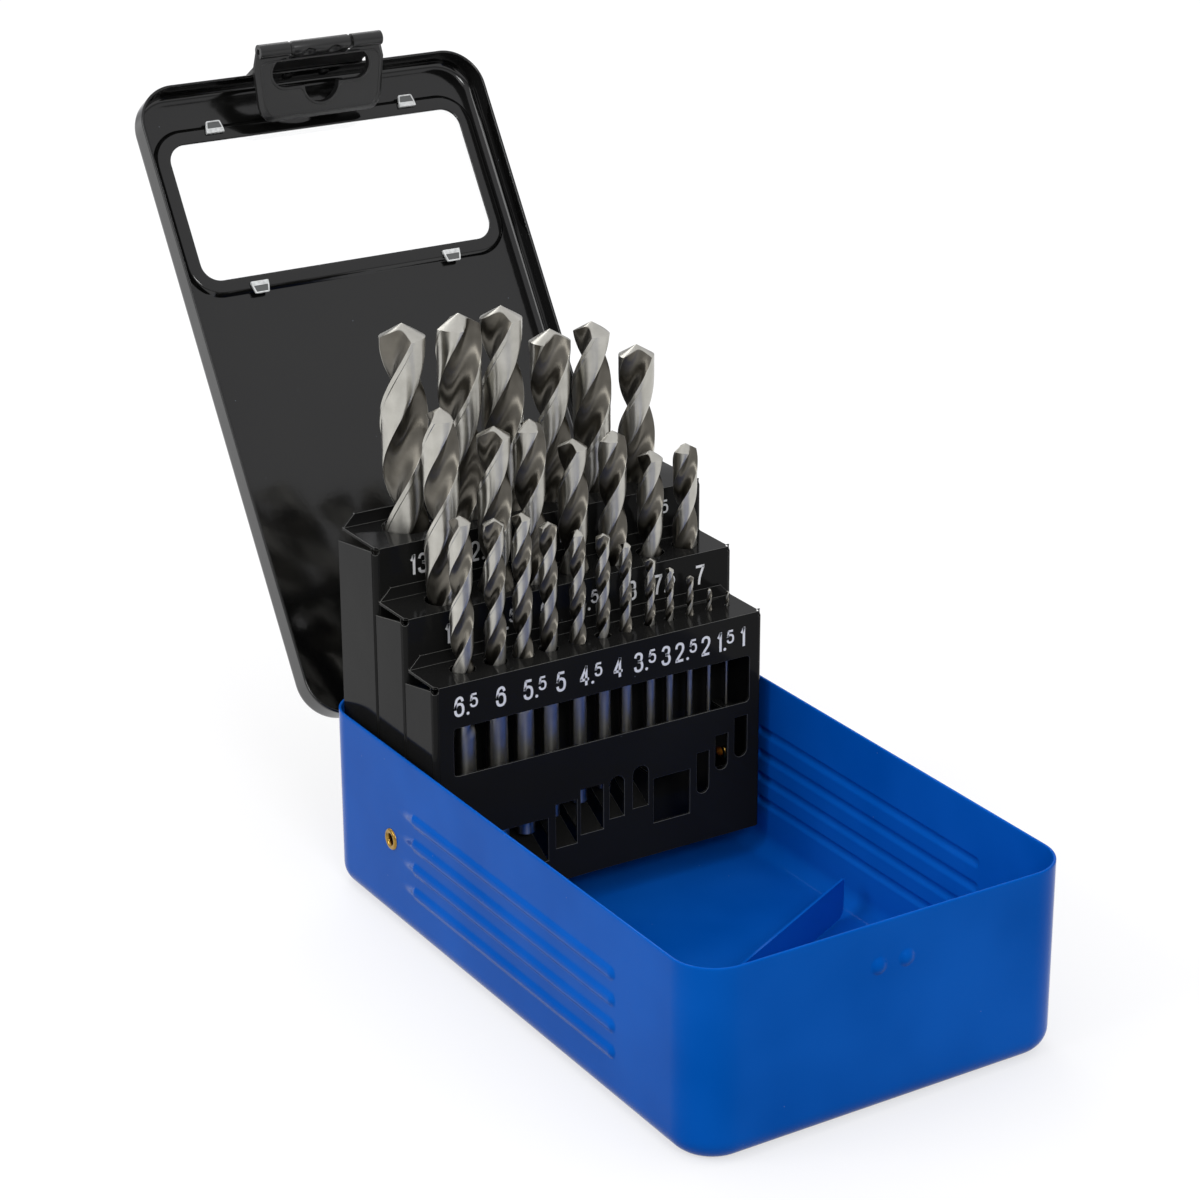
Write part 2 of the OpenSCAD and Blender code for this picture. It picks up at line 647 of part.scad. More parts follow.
plate_y = face_y[1] + sheet_t;
plate_z = rack_foot + sheet_t;               // the two big rows stand on this height
plate_wide = pivot_y + sqrt(pow(heel_r - 0.4, 2) - pow(rack_drop, 2)) - 0.2;
plate_rear = pivot_y + sqrt(pow(heel_mid - 0.4, 2) - pow(rack_drop, 2)) - 0.2;
module rest_plate() {
  w = rack_w - 2 * sheet_t;
  mid = case_w - 2 * corner_r - 1;
  color(BLACK) {
    translate([0, 0, rack_foot]) linear_extrude(sheet_t)
      polygon([[-w / 2 + bend_r, plate_y], [w / 2 - bend_r, plate_y], [w / 2, plate_y + bend_r],
        [w / 2, plate_wide], [mid / 2, plate_wide], [mid / 2, plate_rear], [-mid / 2, plate_rear],
        [-mid / 2, plate_wide], [-w / 2, plate_wide], [-w / 2, plate_y + bend_r]]);
    translate([-mid / 2, plate_rear - sheet_t, rack_foot + sheet_t / 2])
      cube([mid, sheet_t, 3.2 + sheet_t / 2]);
  }
}

// ---------- drills ----------

// Length and flute length of a jobber drill
function jobber(d) = d > 11.8 ? [151, 101] : d > 10.6 ? [142, 94] : d > 9.5 ? [133, 87]
  : d > 8.5 ? [125, 81] : d > 7.5 ? [117, 75] : d > 6.7 ? [109, 69] : d > 6 ? [101, 63]
  : d > 5.3 ? [93, 57] : d > 4.75 ? [86, 52] : d > 4.25 ? [80, 47] : d > 3.75 ? [75, 43]
  : d > 3.35 ? [70, 39] : d > 2.8 ? [61, 33] : d > 2.3 ? [57, 30] : d > 1.9 ? [49, 24]
  : d > 1.32 ? [40, 18] : [34, 12];

// Half of the fluted section: angle from the land's leading edge, share of the radius
HALF = [[0, 1], [26, 1], [52, 0.98], [78, 0.97], [97, 0.6], [122, 0.35], [152, 0.46]];
SECTION = concat(HALF, [for (p = HALF) [p[0] + 180, p[1]]]);

// Height where a drill of the front row stands on its tab
function tab_rest(i) = let (t = TABS[TAB_OF[i]])
  t[4] == 1
    ? rack_foot + t[2] + (row_y[0] + front_d[i] / 2 - sheet_t / 2) * tan(tab_angle) + 0.05
    : rack_foot + t[2] + sheet_t;

module drill(d) {
  len = jobber(d)[0];
  flute = jobber(d)[1];
  r = d / 2;
  shank = len - flute;
  lead = PI * d / tan(helix_angle);
  cone = tan(90 - point_angle / 2);
  n = len(SECTION);
  m = max(6, ceil(9 * flute / lead));
  // rings from the run-out at the shank to the point
  ring = [for (j = [0:m]) let (z = flute * j / m, full = min(1, j == 0 ? 0 : z / (1.1 * d)))
    for (p = SECTION) let (q = r * 0.998 * (1 - full * (1 - p[1])),
      a = p[0] + 360 * z / lead, h = j == m ? flute - q * cone : min(z, flute - r * cone * 1.3))
      [q * cos(a), q * sin(a), shank + h]];
  tip = [[0, 0, len]];
  side = [for (j = [0:m - 1], i = [0:n - 1]) let (a = j * n + i, b = j * n + (i + 1) % n)
    each [[a, a + n, b], [b, a + n, b + n]]];
  cap = [for (i = [0:n - 1]) [(m + 1) * n, m * n + (i + 1) % n, m * n + i]];
  base = [[for (i = [0:n - 1]) i]];
  color(STEEL) {
    cylinder(h = shank, r = r);
    polyhedron(points = concat(ring, tip), faces = concat(side, cap, base));
  }
}

module front_drill(i) {
  translate([spread * front_x[i], face_y[0] + row_y[0], tab_rest(i)]) drill(front_d[i]);
}
module middle_drill(i) { translate([spread * middle_x[i], face_y[1] + row_y[1], plate_z]) drill(middle_d[i]); }
module back_drill(i) { translate([spread * back_x[i], face_y[2] + row_y[2], plate_z]) drill(back_d[i]); }

base_shell();
tip_stop();
hinge_leaf_base();
hinge_pin();
eyelet(-1);  // eyelet_left
eyelet(1);  // eyelet_right
spacer(-1);  // spacer_left
spacer(1);  // spacer_right
lid_shell();
hinge_leaf_lid();
window_pane();
closure_tongue();
tongue_rivet(-1);  // tongue_rivet_left
tongue_rivet(1);  // tongue_rivet_right
hanger_pin();
hanger();
front_bank();
middle_bank();
back_bank();
rest_plate();
back_drill(0);  // drill_13_0
back_drill(1);  // drill_12_5
back_drill(2);  // drill_12_0
back_drill(3);  // drill_11_5
back_drill(4);  // drill_11_0
back_drill(5);  // drill_10_5
middle_drill(0);  // drill_10_0
middle_drill(1);  // drill_9_5
middle_drill(2);  // drill_9_0
middle_drill(3);  // drill_8_5
middle_drill(4);  // drill_8_0
middle_drill(5);  // drill_7_5
middle_drill(6);  // drill_7_0
front_drill(0);  // drill_6_5
front_drill(1);  // drill_6_0
front_drill(2);  // drill_5_5
front_drill(3);  // drill_5_0
front_drill(4);  // drill_4_5
front_drill(5);  // drill_4_0
front_drill(6);  // drill_3_5
front_drill(7);  // drill_3_0
front_drill(8);  // drill_2_5
front_drill(9);  // drill_2_0
front_drill(10);  // drill_1_5
front_drill(11);  // drill_1_0
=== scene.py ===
"""Drill bit case, open, with its tilting rack of graded twist drills.
The pieces' lengths are written in millimetres and turned to metres where a mesh is made. The
camera, the lamps and the floor are placed in metres."""
from math import cos, pi, radians, sin, tan

import bmesh
import bpy
import numpy as np
from mathutils import Matrix, Vector


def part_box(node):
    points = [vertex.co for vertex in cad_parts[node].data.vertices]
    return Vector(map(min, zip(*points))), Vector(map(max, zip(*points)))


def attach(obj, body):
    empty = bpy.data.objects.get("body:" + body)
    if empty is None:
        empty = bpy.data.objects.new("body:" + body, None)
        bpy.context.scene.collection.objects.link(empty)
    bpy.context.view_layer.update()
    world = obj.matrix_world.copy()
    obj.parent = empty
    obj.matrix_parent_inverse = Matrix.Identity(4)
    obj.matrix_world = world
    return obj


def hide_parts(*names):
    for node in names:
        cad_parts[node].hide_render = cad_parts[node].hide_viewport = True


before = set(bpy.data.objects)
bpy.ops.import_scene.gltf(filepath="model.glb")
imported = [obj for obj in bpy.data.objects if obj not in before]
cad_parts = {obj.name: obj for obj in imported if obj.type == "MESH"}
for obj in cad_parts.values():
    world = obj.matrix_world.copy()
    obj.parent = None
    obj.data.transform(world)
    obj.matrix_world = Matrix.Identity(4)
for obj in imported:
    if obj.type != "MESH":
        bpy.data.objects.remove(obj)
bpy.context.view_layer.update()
scene = bpy.context.scene

# ---- Camera ----
# The photograph looks down on the clasp corner through a long lens from about 0.9 m.
# The place, turn and lens were fitted to the edges of the base.
azimuth, elevation, roll = radians(-32.866), radians(21.555), radians(0.24)
ahead = Vector((-sin(azimuth) * cos(elevation), cos(azimuth) * cos(elevation), -sin(elevation)))
level = ahead.cross(Vector((0, 0, 1))).normalized()
upright = level.cross(ahead)
side = level * cos(roll) + upright * sin(roll)
top = upright * cos(roll) - level * sin(roll)
camera = bpy.data.objects.new("camera", bpy.data.cameras.new("camera"))
camera.data.sensor_width = 36
camera.data.lens = 96.03
camera.data.shift_x, camera.data.shift_y = -0.05634, -0.01714
camera.data.clip_start, camera.data.clip_end = 0.02, 20
camera.matrix_world = Matrix.Translation((-0.41605, -0.63781, 0.40925)) @ Matrix(
    (side, top, -ahead)).transposed().to_4x4()
scene.collection.objects.link(camera)
scene.camera = camera

# ---- Floor and studio light ----
# A white paper table under a white ceiling cloth, with a small soft box in front and wide
# ones on the left and behind. The table is seen as white and keeps the case's soft shadow.


def linear(shade):
    """An sRGB hex colour as opaque linear values: ((c + 0.055) / 1.055) ^ 2.4 of each channel."""
    channel = np.array([int(shade[i:i + 2], 16) for i in (1, 3, 5)]) / 255
    low = channel / 12.92
    return (*np.where(channel > 0.04045, ((channel + 0.055) / 1.055) ** 2.4, low), 1.0)


def add(tree, kind, sockets=None, links=None, **settings):
    """Adds a node with its settings, the values of its sockets and the links into them."""
    made = tree.nodes.new(kind)
    for key, value in settings.items():
        setattr(made, key, value)
    for key, value in (sockets or {}).items():
        made.inputs[key].default_value = value
    for key, source in (links or {}).items():
        tree.links.new(source, made.inputs[key])
    return made


def ranged(tree, value, low, high, to_low=0.0, to_high=1.0, **settings):
    """A value mapped from one range onto another and held at its ends."""
    span = {"From Min": low, "From Max": high, "To Min": to_low, "To Max": to_high}
    return add(tree, "ShaderNodeMapRange", span, {"Value": value}, **settings).outputs[0]


room = bpy.data.worlds.new("pale studio")
room.use_nodes = True
tree = room.node_tree
tree.nodes.clear()
towards = add(tree, "ShaderNodeTexCoord")
parts = add(tree, "ShaderNodeSeparateXYZ", links={0: towards.outputs["Generated"]})
# a grey room up to 5 degrees above the table, a white ceiling cloth from 25 degrees on
room_ends, cloth_begins, room_glow, cloth_glow = 0.09, 0.42, 0.46, 0.9
cloth = ranged(tree, parts.outputs["Z"], room_ends, cloth_begins, room_glow, cloth_glow,
               interpolation_type="SMOOTHSTEP")
sky = add(tree, "ShaderNodeBackground", {"Color": linear("#FDFDFF")}, {"Strength": cloth})
add(tree, "ShaderNodeOutputWorld", links={"Surface": sky.outputs[0]})
scene.world = room
scene.view_settings.view_transform = "Standard"


def blank_material(name):
    """A new material and its node tree, emptied."""
    made = bpy.data.materials.new(name)
    made.use_nodes = True
    made.node_tree.nodes.clear()
    return made, made.node_tree


def blend(tree, share, first, second):
    """Two sRGB shades mixed by a share, from the first at 0 to the second at 1."""
    return add(tree, "ShaderNodeMix", {"A": linear(first), "B": linear(second)}, {0: share},
               data_type="RGBA").outputs["Result"]


half_floor = 15
floor_mesh = bpy.data.meshes.new("floor")
floor_mesh.from_pydata([(x, y, 0) for x, y in ((-half_floor, -half_floor), (half_floor, -half_floor),
                                               (half_floor, half_floor), (-half_floor, half_floor))],
                       [], [(0, 1, 2, 3)])
floor = bpy.data.objects.new("floor", floor_mesh)
scene.collection.objects.link(floor)
paper, tree = blank_material("white paper table")
path = add(tree, "ShaderNodeLightPath")
seen = add(tree, "ShaderNodeMath", operation="MAXIMUM",
           links={0: path.outputs["Is Camera Ray"], 1: path.outputs["Is Transmission Ray"]})
shown = add(tree, "ShaderNodeMath", operation="MAXIMUM",
            links={0: seen.outputs[0], 1: path.outputs["Is Glossy Ray"]})
# the table is white round the case and fades to the grey of the room between these distances
white_ends, grey_begins, glow_share = 1.6, 3.2, 0.62
spot = add(tree, "ShaderNodeTexCoord")
away = add(tree, "ShaderNodeVectorMath", operation="LENGTH", links={0: spot.outputs["Object"]})
fade = ranged(tree, away.outputs["Value"], white_ends, grey_begins, interpolation_type="SMOOTHSTEP")
shade = blend(tree, fade, "#FFFFFF", "#B8B8BA")
matt = add(tree, "ShaderNodeBsdfDiffuse", links={"Color": shade})
glow = add(tree, "ShaderNodeEmission", links={"Color": shade, "Strength": shown.outputs[0]})
both = add(tree, "ShaderNodeMixShader", {0: glow_share}, {1: matt.outputs[0], 2: glow.outputs[0]})
add(tree, "ShaderNodeOutputMaterial", links={"Surface": both.outputs[0]})
floor_mesh.materials.append(paper)

for name, place, aim, size, power in (
    ("front soft box", (-0.3, -1.25, 0.95), (0, 0, 0.05), (0.4, 0.3), 5.0),
    ("left soft box", (-1.1, 0.1, 0.8), (0, 0, 0.08), (0.8, 0.6), 5.0),
    ("back soft box", (0.3, 1.2, 1.1), (0, 0.05, 0.1), (0.9, 0.4), 4.0),
):
    lamp = bpy.data.lights.new(name, "AREA")
    lamp.shape, lamp.size, lamp.size_y, lamp.energy = "RECTANGLE", *size, power
    holder = bpy.data.objects.new(name, lamp)
    turned_to = (Vector(aim) - Vector(place)).to_track_quat("-Z", "Y").to_matrix().to_4x4()
    holder.matrix_world = Matrix.Translation(place) @ turned_to
    scene.collection.objects.link(holder)

# ---- Base ----
# Deep drawn sheet steel pan, 112 x 189 x 53 mm, with four stiffening ribs pressed out of
# each long wall and two catch dimples in the clasp wall. It is dipped in blue stoving enamel,
# whose gloss draws a thin bright line along the rounded rim.
case_w, case_l, base_h, wall = 112.0, 189.0, 53.0, 0.8
corner, edge, rim = 12.0, 6.0, 0.4
rib_heights, rib_front, rib_back = (15.2, 22.4, 29.6, 36.8), -55.9, 42.8
rib_ball, rib_out = 2.25, 0.9
dimple_ball, dimple_out, dimple_x, dimple_z = 2.709, 1.2, 4.15, 41.2


def noise(tree, place, scale, detail, roughness=0.5):
    """The height of a noise pattern whose features are 1 / scale metres across."""
    sockets = {"Scale": scale, "Detail": detail, "Roughness": roughness}
    return add(tree, "ShaderNodeTexNoise", sockets, {"Vector": place}).outputs["Fac"]


def bumped(tree, height, strength, distance, under=None):
    """The normal of a surface raised by a height, on top of the waves under it where there are any."""
    links = {"Height": height} if under is None else {"Height": height, "Normal": under}
    return add(tree, "ShaderNodeBump", {"Strength": strength, "Distance": distance}, links).outputs[0]


def shaded(tree, sockets, links):
    """The Principled shader with its fixed values and its links, joined to the material's output."""
    body = add(tree, "ShaderNodeBsdfPrincipled", sockets, links)
    add(tree, "ShaderNodeOutputMaterial", links={"Surface": body.outputs[0]})


def painted_steel(name, shade, hazy, rough, speck, skin_gloss, skin_shade="#FFFFFF"):
    """Stoved enamel: a clear glossy skin over pigment, faintly orange-peeled at 2 to 3 mm,
    with slow waves of 35 mm in the sheet and a few specks of dust 0.3 mm across sunk in it."""
    paint, tree = blank_material(name)
    place = add(tree, "ShaderNodeTexCoord").outputs["Object"]
    slow = noise(tree, place, 28.0, 2.0)
    peel = noise(tree, place, 420.0, 2.0)
    dust = add(tree, "ShaderNodeTexVoronoi", {"Scale": 130.0}, {"Vector": place}, feature="F1")
    tint = blend(tree, ranged(tree, slow, 0.35, 0.7), shade, hazy)
    grain = ranged(tree, dust.outputs["Distance"], 0.014, 0.03, speck, 0.0)
    dusty = add(tree, "ShaderNodeMix", {"B": linear("#9AA6B4")}, {0: grain, "A": tint}, data_type="RGBA")
    gloss = ranged(tree, slow, 0.3, 0.7, rough * 0.75, rough * 1.4)
    waves = bumped(tree, slow, 0.1, 0.002)
    shaded(tree, {"IOR": 1.5, "Specular IOR Level": skin_gloss, "Specular Tint": linear(skin_shade)},
           {"Base Color": dusty.outputs["Result"], "Roughness": gloss,
            "Normal": bumped(tree, peel, 0.06, 0.0002, waves)})
    return paint


blue_enamel = painted_steel("blue stoving enamel", "#0051AE", "#0A5BBC", 0.09, 0.3, 0.05, "#3C8CFF")


def finish_piece(name, points, faces, body, slot, paint, crease=35.0, stands_for=(), marks=None):
    """Makes a mesh piece from points in millimetres: joins doubled points, turns the faces
    outwards, shades smooth up to the crease angle and lets it ride on its body. Marks are
    named values, one per point, which the piece's material reads."""
    mesh = bpy.data.meshes.new(name)
    mesh.from_pydata((np.asarray(points, float) / 1000).tolist(), [], faces)
    for word, values in (marks or {}).items():
        mesh.attributes.new(word, "FLOAT", "POINT").data.foreach_set("value", np.asarray(values, np.float32))
    work = bmesh.new()
    work.from_mesh(mesh)
    bmesh.ops.remove_doubles(work, verts=work.verts, dist=2e-7)
    bmesh.ops.recalc_face_normals(work, faces=work.faces)
    if work.calc_volume(signed=True) < 0:
        bmesh.ops.reverse_faces(work, faces=work.faces)
    work.to_mesh(mesh)
    work.free()
    mesh.shade_smooth()
    mesh.set_sharp_from_angle(angle=radians(crease))
    mesh.materials.append(paint)
    piece = bpy.data.objects.new(name, mesh)
    scene.collection.objects.link(piece)
    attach(piece, body)
    if stands_for:
        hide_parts(*stands_for)
    return piece


def quads(rows, columns, wrap_rows, wrap_columns):
    """Faces of a grid whose point (i, j) has the number i * columns + j, wrapped round where asked."""
    i = np.arange(rows if wrap_rows else rows - 1)[:, None]
    j = np.arange(columns if wrap_columns else columns - 1)[None, :]
    i1, j1 = (i + 1) % rows, (j + 1) % columns
    corners = [i * columns + j, i1 * columns + j, i1 * columns + j1, i * columns + j1]
    return np.stack(corners, -1).reshape(-1, 4).tolist()


def loop_round(side_places, end_places, turn):
    """Once round a rounded rectangle, counter-clockwise from the right wall: the share of the
    half length and half width at which each point's corner centre lies, and the outward normal."""
    sx, sy, nx, ny = [], [], [], []
    for k, places in enumerate((side_places, end_places[::-1], side_places[::-1], end_places)):
        along = np.asarray(places)
        n = (cos(k * pi / 2), sin(k * pi / 2))
        across = np.full(len(along), (1.0, 1.0, -1.0, -1.0)[k])
        sx.append(across if k % 2 == 0 else along)
        sy.append(along if k % 2 == 0 else across)
        nx.append(np.full(len(along), n[0]))
        ny.append(np.full(len(along), n[1]))
        bend = k * pi / 2 + np.arange(1, turn) * pi / 2 / turn
        sx.append(np.full(turn - 1, (1.0, -1.0, -1.0, 1.0)[k]))
        sy.append(np.full(turn - 1, (1.0, 1.0, -1.0, -1.0)[k]))
        nx.append(np.cos(bend))
        ny.append(np.sin(bend))
    return [np.concatenate(v) for v in (sx, sy, nx, ny)]


def press(far, ball, out, skin, blend=0.3):
    """Height of a ball-ended rib or dimple above the sheet: sqrt(ball^2 - far^2) - (ball - out),
    less the sheet's thickness inside, blended into the flat by a small parabola."""
    r = ball - skin
    rise = np.sqrt(np.maximum(r * r - far * far, 0)) - (ball - out) + skin
    rise = np.where(far < r, rise, -ball)
    return np.where(rise > blend, rise, np.where(rise > -blend, (rise + blend) ** 2 / (4 * blend), 0))


# places along the walls, close together where a rib or dimple ends
long_run = case_l / 2 - corner
side_places = np.unique(np.concatenate([
    [-long_run, -long_run + 0.6, long_run - 0.6, long_run],
    np.arange(-59, -51.5, 0.35), np.arange(-50, 38, 5.5), np.arange(38.5, 44.5, 0.35),
    [50, 53.2, 56.4, 59.6, 64, 72]])) / long_run
short_run = case_w / 2 - corner
end_places = np.unique(np.concatenate([
    [-short_run, -short_run + 0.6, short_run - 0.6, short_run],
    np.arange(-7.2, 7.3, 0.3), [-30, -20, -12, 12, 20, 30]])) / short_run
sx, sy, nx, ny = loop_round(side_places, end_places, 18)

# the wall's section: floor, bottom radius, wall, rounded rim, and back down inside
arc = np.linspace(0, pi / 2, 11)
rim_arc = np.linspace(0, pi, 9)
wall_z = np.unique(np.concatenate([
    [6, 6.6, 9.5], np.arange(11.6, 40, 0.42), np.arange(38.6, 44.2, 0.3), [47, 50.5, 51.8]]))
top_z = base_h - rim
inset = np.concatenate([
    [9.0, 6.6], edge * (1 - np.sin(arc)), np.zeros(len(wall_z) - 1), rim * (1 - np.cos(rim_arc)),
    np.full(len(wall_z) - 1, wall), edge - (edge - wall) * np.sin(arc[::-1]), [6.6, 9.0]])
height = np.concatenate([
    [0, 0], edge * (1 - np.cos(arc)), wall_z[1:], top_z + rim * np.sin(rim_arc),
    wall_z[::-1][:-1], edge - (edge - wall) * np.cos(arc[::-1]), [wall, wall]])
# the depth of each point in the sheet: none outside, up to the middle of the rim, and its thickness inside
outside = 2 + len(arc) + len(wall_z) - 1 + len(rim_arc) // 2
inner = np.where(np.arange(len(inset)) < outside, 0.0, wall)
# just within the solid's walls, so that the closed lid's hinge leaf lies on the wall and not in it
clear_of_leaf = 0.02
x = sx[:, None] * short_run + nx[:, None] * (corner - clear_of_leaf - inset)
y = sy[:, None] * long_run + ny[:, None] * (corner - clear_of_leaf - inset)
z = np.broadcast_to(height, x.shape).copy()
rise = np.zeros_like(x)
above_floor = z > 8
on_sides = (np.abs(nx)[:, None] > 0.999) & above_floor
on_clasp_wall = (ny[:, None] < -0.999) & above_floor
for rib_z in rib_heights:
    past = np.maximum(y - rib_back, 0) + np.maximum(rib_front - y, 0)
    far = np.hypot(past, z - rib_z)
    for skin in (0.0, wall):
        lift = press(far, rib_ball, rib_out, skin)
        rise = np.where(on_sides & (inner == skin), np.maximum(rise, lift), rise)
for s in (-1, 1):
    far = np.hypot(x - s * dimple_x, z - dimple_z)
    for skin in (0.0, wall):
        lift = press(far, dimple_ball, dimple_out, skin, 0.2)
        rise = np.where(on_clasp_wall & (inner == skin), np.maximum(rise, lift), rise)
x, y = x + nx[:, None] * rise, y + ny[:, None] * rise
n_round, n_section = x.shape
faces = quads(n_round, n_section, True, False)
points = np.concatenate([np.stack([x, y, z], -1).reshape(-1, 3), [[0, 0, 0], [0, 0, wall]]])
i = np.arange(n_round) * n_section
for first, middle in ((i, len(points) - 2), (i + n_section - 1, len(points) - 1)):
    faces += np.stack([first, np.roll(first, -1), np.full(n_round, middle)], -1).tolist()
base_pan = finish_piece("base_pan", points, faces, "base", "blue_enamel", blue_enamel, 50, ["base_shell"])


def cut(piece, cutter_points, cutter_faces):
    """Cuts a closed shape, given in millimetres, out of a piece and keeps the piece's creases."""
    mesh = bpy.data.meshes.new("cutter")
    mesh.from_pydata((np.asarray(cutter_points, float) / 1000).tolist(), [], cutter_faces)
    work = bmesh.new()
    work.from_mesh(mesh)
    bmesh.ops.recalc_face_normals(work, faces=work.faces)
    work.to_mesh(mesh)
    work.free()
    tool = bpy.data.objects.new("cutter", mesh)
    scene.collection.objects.link(tool)
    taken = piece.modifiers.new("cut", "BOOLEAN")
    taken.operation, taken.solver, taken.object = "DIFFERENCE", "EXACT", tool
    bpy.context.view_layer.update()
    result = bpy.data.meshes.new_from_object(piece.evaluated_get(bpy.context.evaluated_depsgraph_get()))
    piece.modifiers.clear()
    result.name = piece.name
    piece.data = result
    bpy.data.objects.remove(tool)


def rod_points(centre, direction, radius, half, sides=40):
    """A closed rod: two rings of points round a line, with flat ends."""
    axis = np.array(direction, float) / np.linalg.norm(direction)
    first = np.cross(axis, (0.3, 0.5, 0.8))
    first /= np.linalg.norm(first)
    second = np.cross(axis, first)
    a = np.arange(sides) * 2 * pi / sides
    ring = radius * (np.cos(a)[:, None] * first + np.sin(a)[:, None] * second) + np.array(centre, float)
    return np.concatenate([ring - half * axis, ring + half * axis]), quads(2, sides, False, True) + [
        list(range(sides)), list(range(sides, 2 * sides))]


pivot_y, pivot_z, pivot_r = 56.4, 26.0, 2.25
for s in (-1, 1):
    cut(base_pan, *rod_points((s * case_w / 2, pivot_y, pivot_z), (1, 0, 0), pivot_r, 3))
# the slot in the rear wall in which the hinge's barrel is half sunk
hinge_y, hinge_z = 94.5, 47.6
slot_x, slot_y, slot_z = 37, 3, 1.95
slot_corners = [(x, y, z) for x in (-slot_x, slot_x) for y in (hinge_y - slot_y, hinge_y + slot_y)
                for z in (hinge_z - slot_z, hinge_z + slot_z)]
cut(base_pan, slot_corners,
    [(0, 1, 3, 2), (4, 6, 7, 5), (0, 4, 5, 1), (2, 3, 7, 6), (0, 2, 6, 4), (1, 5, 7, 3)])


def softened(node, body, paint, width, crease=32.0, highlight_paint=None):
    """A copy of a part as built, with its doubled points joined, its flats made whole again
    and every cut edge rounded by the given width, as dipping in paint or moulding leaves it.
    The rounded edges may have a paint of their own, such as a lighter one for a painted highlight along them."""
    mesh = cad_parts[node].data.copy()
    work = bmesh.new()
    work.from_mesh(mesh)
    bmesh.ops.remove_doubles(work, verts=work.verts, dist=1e-6)
    bmesh.ops.dissolve_limit(work, angle_limit=radians(0.5), verts=work.verts, edges=work.edges)
    work.to_mesh(mesh)
    work.free()
    mesh.shade_smooth()
    mesh.set_sharp_from_angle(angle=radians(crease))
    mesh.materials.clear()
    mesh.materials.append(paint)
    piece = bpy.data.objects.new(node + "_finished", mesh)
    scene.collection.objects.link(piece)
    if width:
        bevel = piece.modifiers.new("rounded edges", "BEVEL")
        bevel.limit_method, bevel.angle_limit = "ANGLE", radians(crease)
        bevel.width, bevel.segments, bevel.harden_normals = width / 1000, 2, True
        # held back, the bevel would be too thin for its painted highlight to show
        bevel.use_clamp_overlap = highlight_paint is None
        if highlight_paint:
            mesh.materials.append(highlight_paint)
            bevel.material = 1
    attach(piece, body)
    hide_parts(node)
    return piece


# ---- Tip stop ----
# Bent strip of the same steel, spot welded across the floor so that the tips of the folded
# set of drills, which grow longer from right to left, all end just before it.
softened("tip_stop", "base", blue_enamel, 0.12)

# ---- Eyelets and spacers ----
# Hollow brass rivets rolled over on both sides. The rack turns on them, kept off the walls
# by turned steel spacers.


def metal(name, shade, dark, rough, grain, mottle):
    """Bare metal: full metallic, with turning or grinding lines across Z, spaced by the grain in
    lines per metre, and a slow mottling between two close shades."""
    bare, tree = blank_material(name)
    place = add(tree, "ShaderNodeTexCoord").outputs["Object"]
    lay = add(tree, "ShaderNodeMapping", {"Scale": (30, 30, grain)}, {"Vector": place})
    lines = noise(tree, lay.outputs[0], 1.0, 3.0, 0.6)
    cloud = noise(tree, place, mottle, 3.0)
    tint = blend(tree, ranged(tree, cloud, 0.3, 0.6), dark, shade)
    gloss = ranged(tree, lines, 0.3, 0.7, rough * 0.7, rough * 1.5)
    shaded(tree, {"Metallic": 1.0},
           {"Base Color": tint, "Roughness": gloss, "Normal": bumped(tree, lines, 0.06, 0.0003)})
    return bare


brass = metal("drawn brass", "#A88642", "#7F642C", 0.26, 400, 500)
plated = metal("zinc plated steel", "#B9BAB6", "#8F908C", 0.28, 900, 300)


def turned(profile, sides=56):
    """A ring turned from a closed profile of (radius, depth) pairs about the X axis, along which
    the depth runs."""
    r, depth = np.array(profile, float).T
    a = np.arange(sides) * 2 * pi / sides
    y, z = np.cos(a)[:, None] * r, np.sin(a)[:, None] * r
    x = np.broadcast_to(depth, y.shape)
    return np.stack([x, y, z], -1).reshape(-1, 3), quads(sides, len(profile), True, True)


eyelet_profile = [
    (1.5, -5.5), (1.5, -0.35), (1.53, -0.05), (1.63, 0.22), (1.8, 0.44), (2.05, 0.58), (2.33, 0.62),
    (2.62, 0.56), (2.86, 0.4), (3.0, 0.2), (3.05, 0.0), (2.98, -0.01), (2.2, -0.01), (2.2, -4.95),
    (2.56, -4.95), (2.55, -5.15), (2.4, -5.38), (2.15, -5.52), (1.85, -5.58), (1.62, -5.56)]
spacer_profile = [(2.25, -0.82), (3.3, -0.82), (3.5, -1.0), (3.5, -3.67), (3.3, -3.85), (2.25, -3.85)]
for s, hand in ((-1, "left"), (1, "right")):
    for profile, kind, slot, paint in ((eyelet_profile, "eyelet", "brass", brass),
                                       (spacer_profile, "spacer", "plated_steel", plated)):
        points, faces = turned(profile)
        points = points * (s, 1, 1) + (s * case_w / 2, pivot_y, pivot_z)
        finish_piece(kind + "_ring_" + hand, points, faces, "base", slot, paint, 40, [kind + "_" + hand])

# ---- Lid ----
# Shallow pan of the same sheet in black stoving enamel, with a window opening whose border is
# pressed inwards by 1.2 mm so that the clear pane lies flush outside. It stands open at 123 degrees.
lid_open, lid_h, lid_edge = radians(123), 9.2, 3.0
lid_top = base_h + 0.3 + lid_h
window_w, window_l, window_r, window_y = 95.0, 41.6, 5.5, -57.7
border_step = 1.2


def opened(points):
    """Turns points of the closed lid by the opening angle about the hinge axis."""
    y, z = points[..., 1] - hinge_y, points[..., 2] - hinge_z
    c, s = cos(-lid_open), sin(-lid_open)
    return np.stack([points[..., 0], hinge_y + y * c - z * s, hinge_z + y * s + z * c], -1)


black_enamel = painted_steel("black stoving enamel", "#0C0C0C", "#0F0F0E", 0.09, 0.25, 0.5)

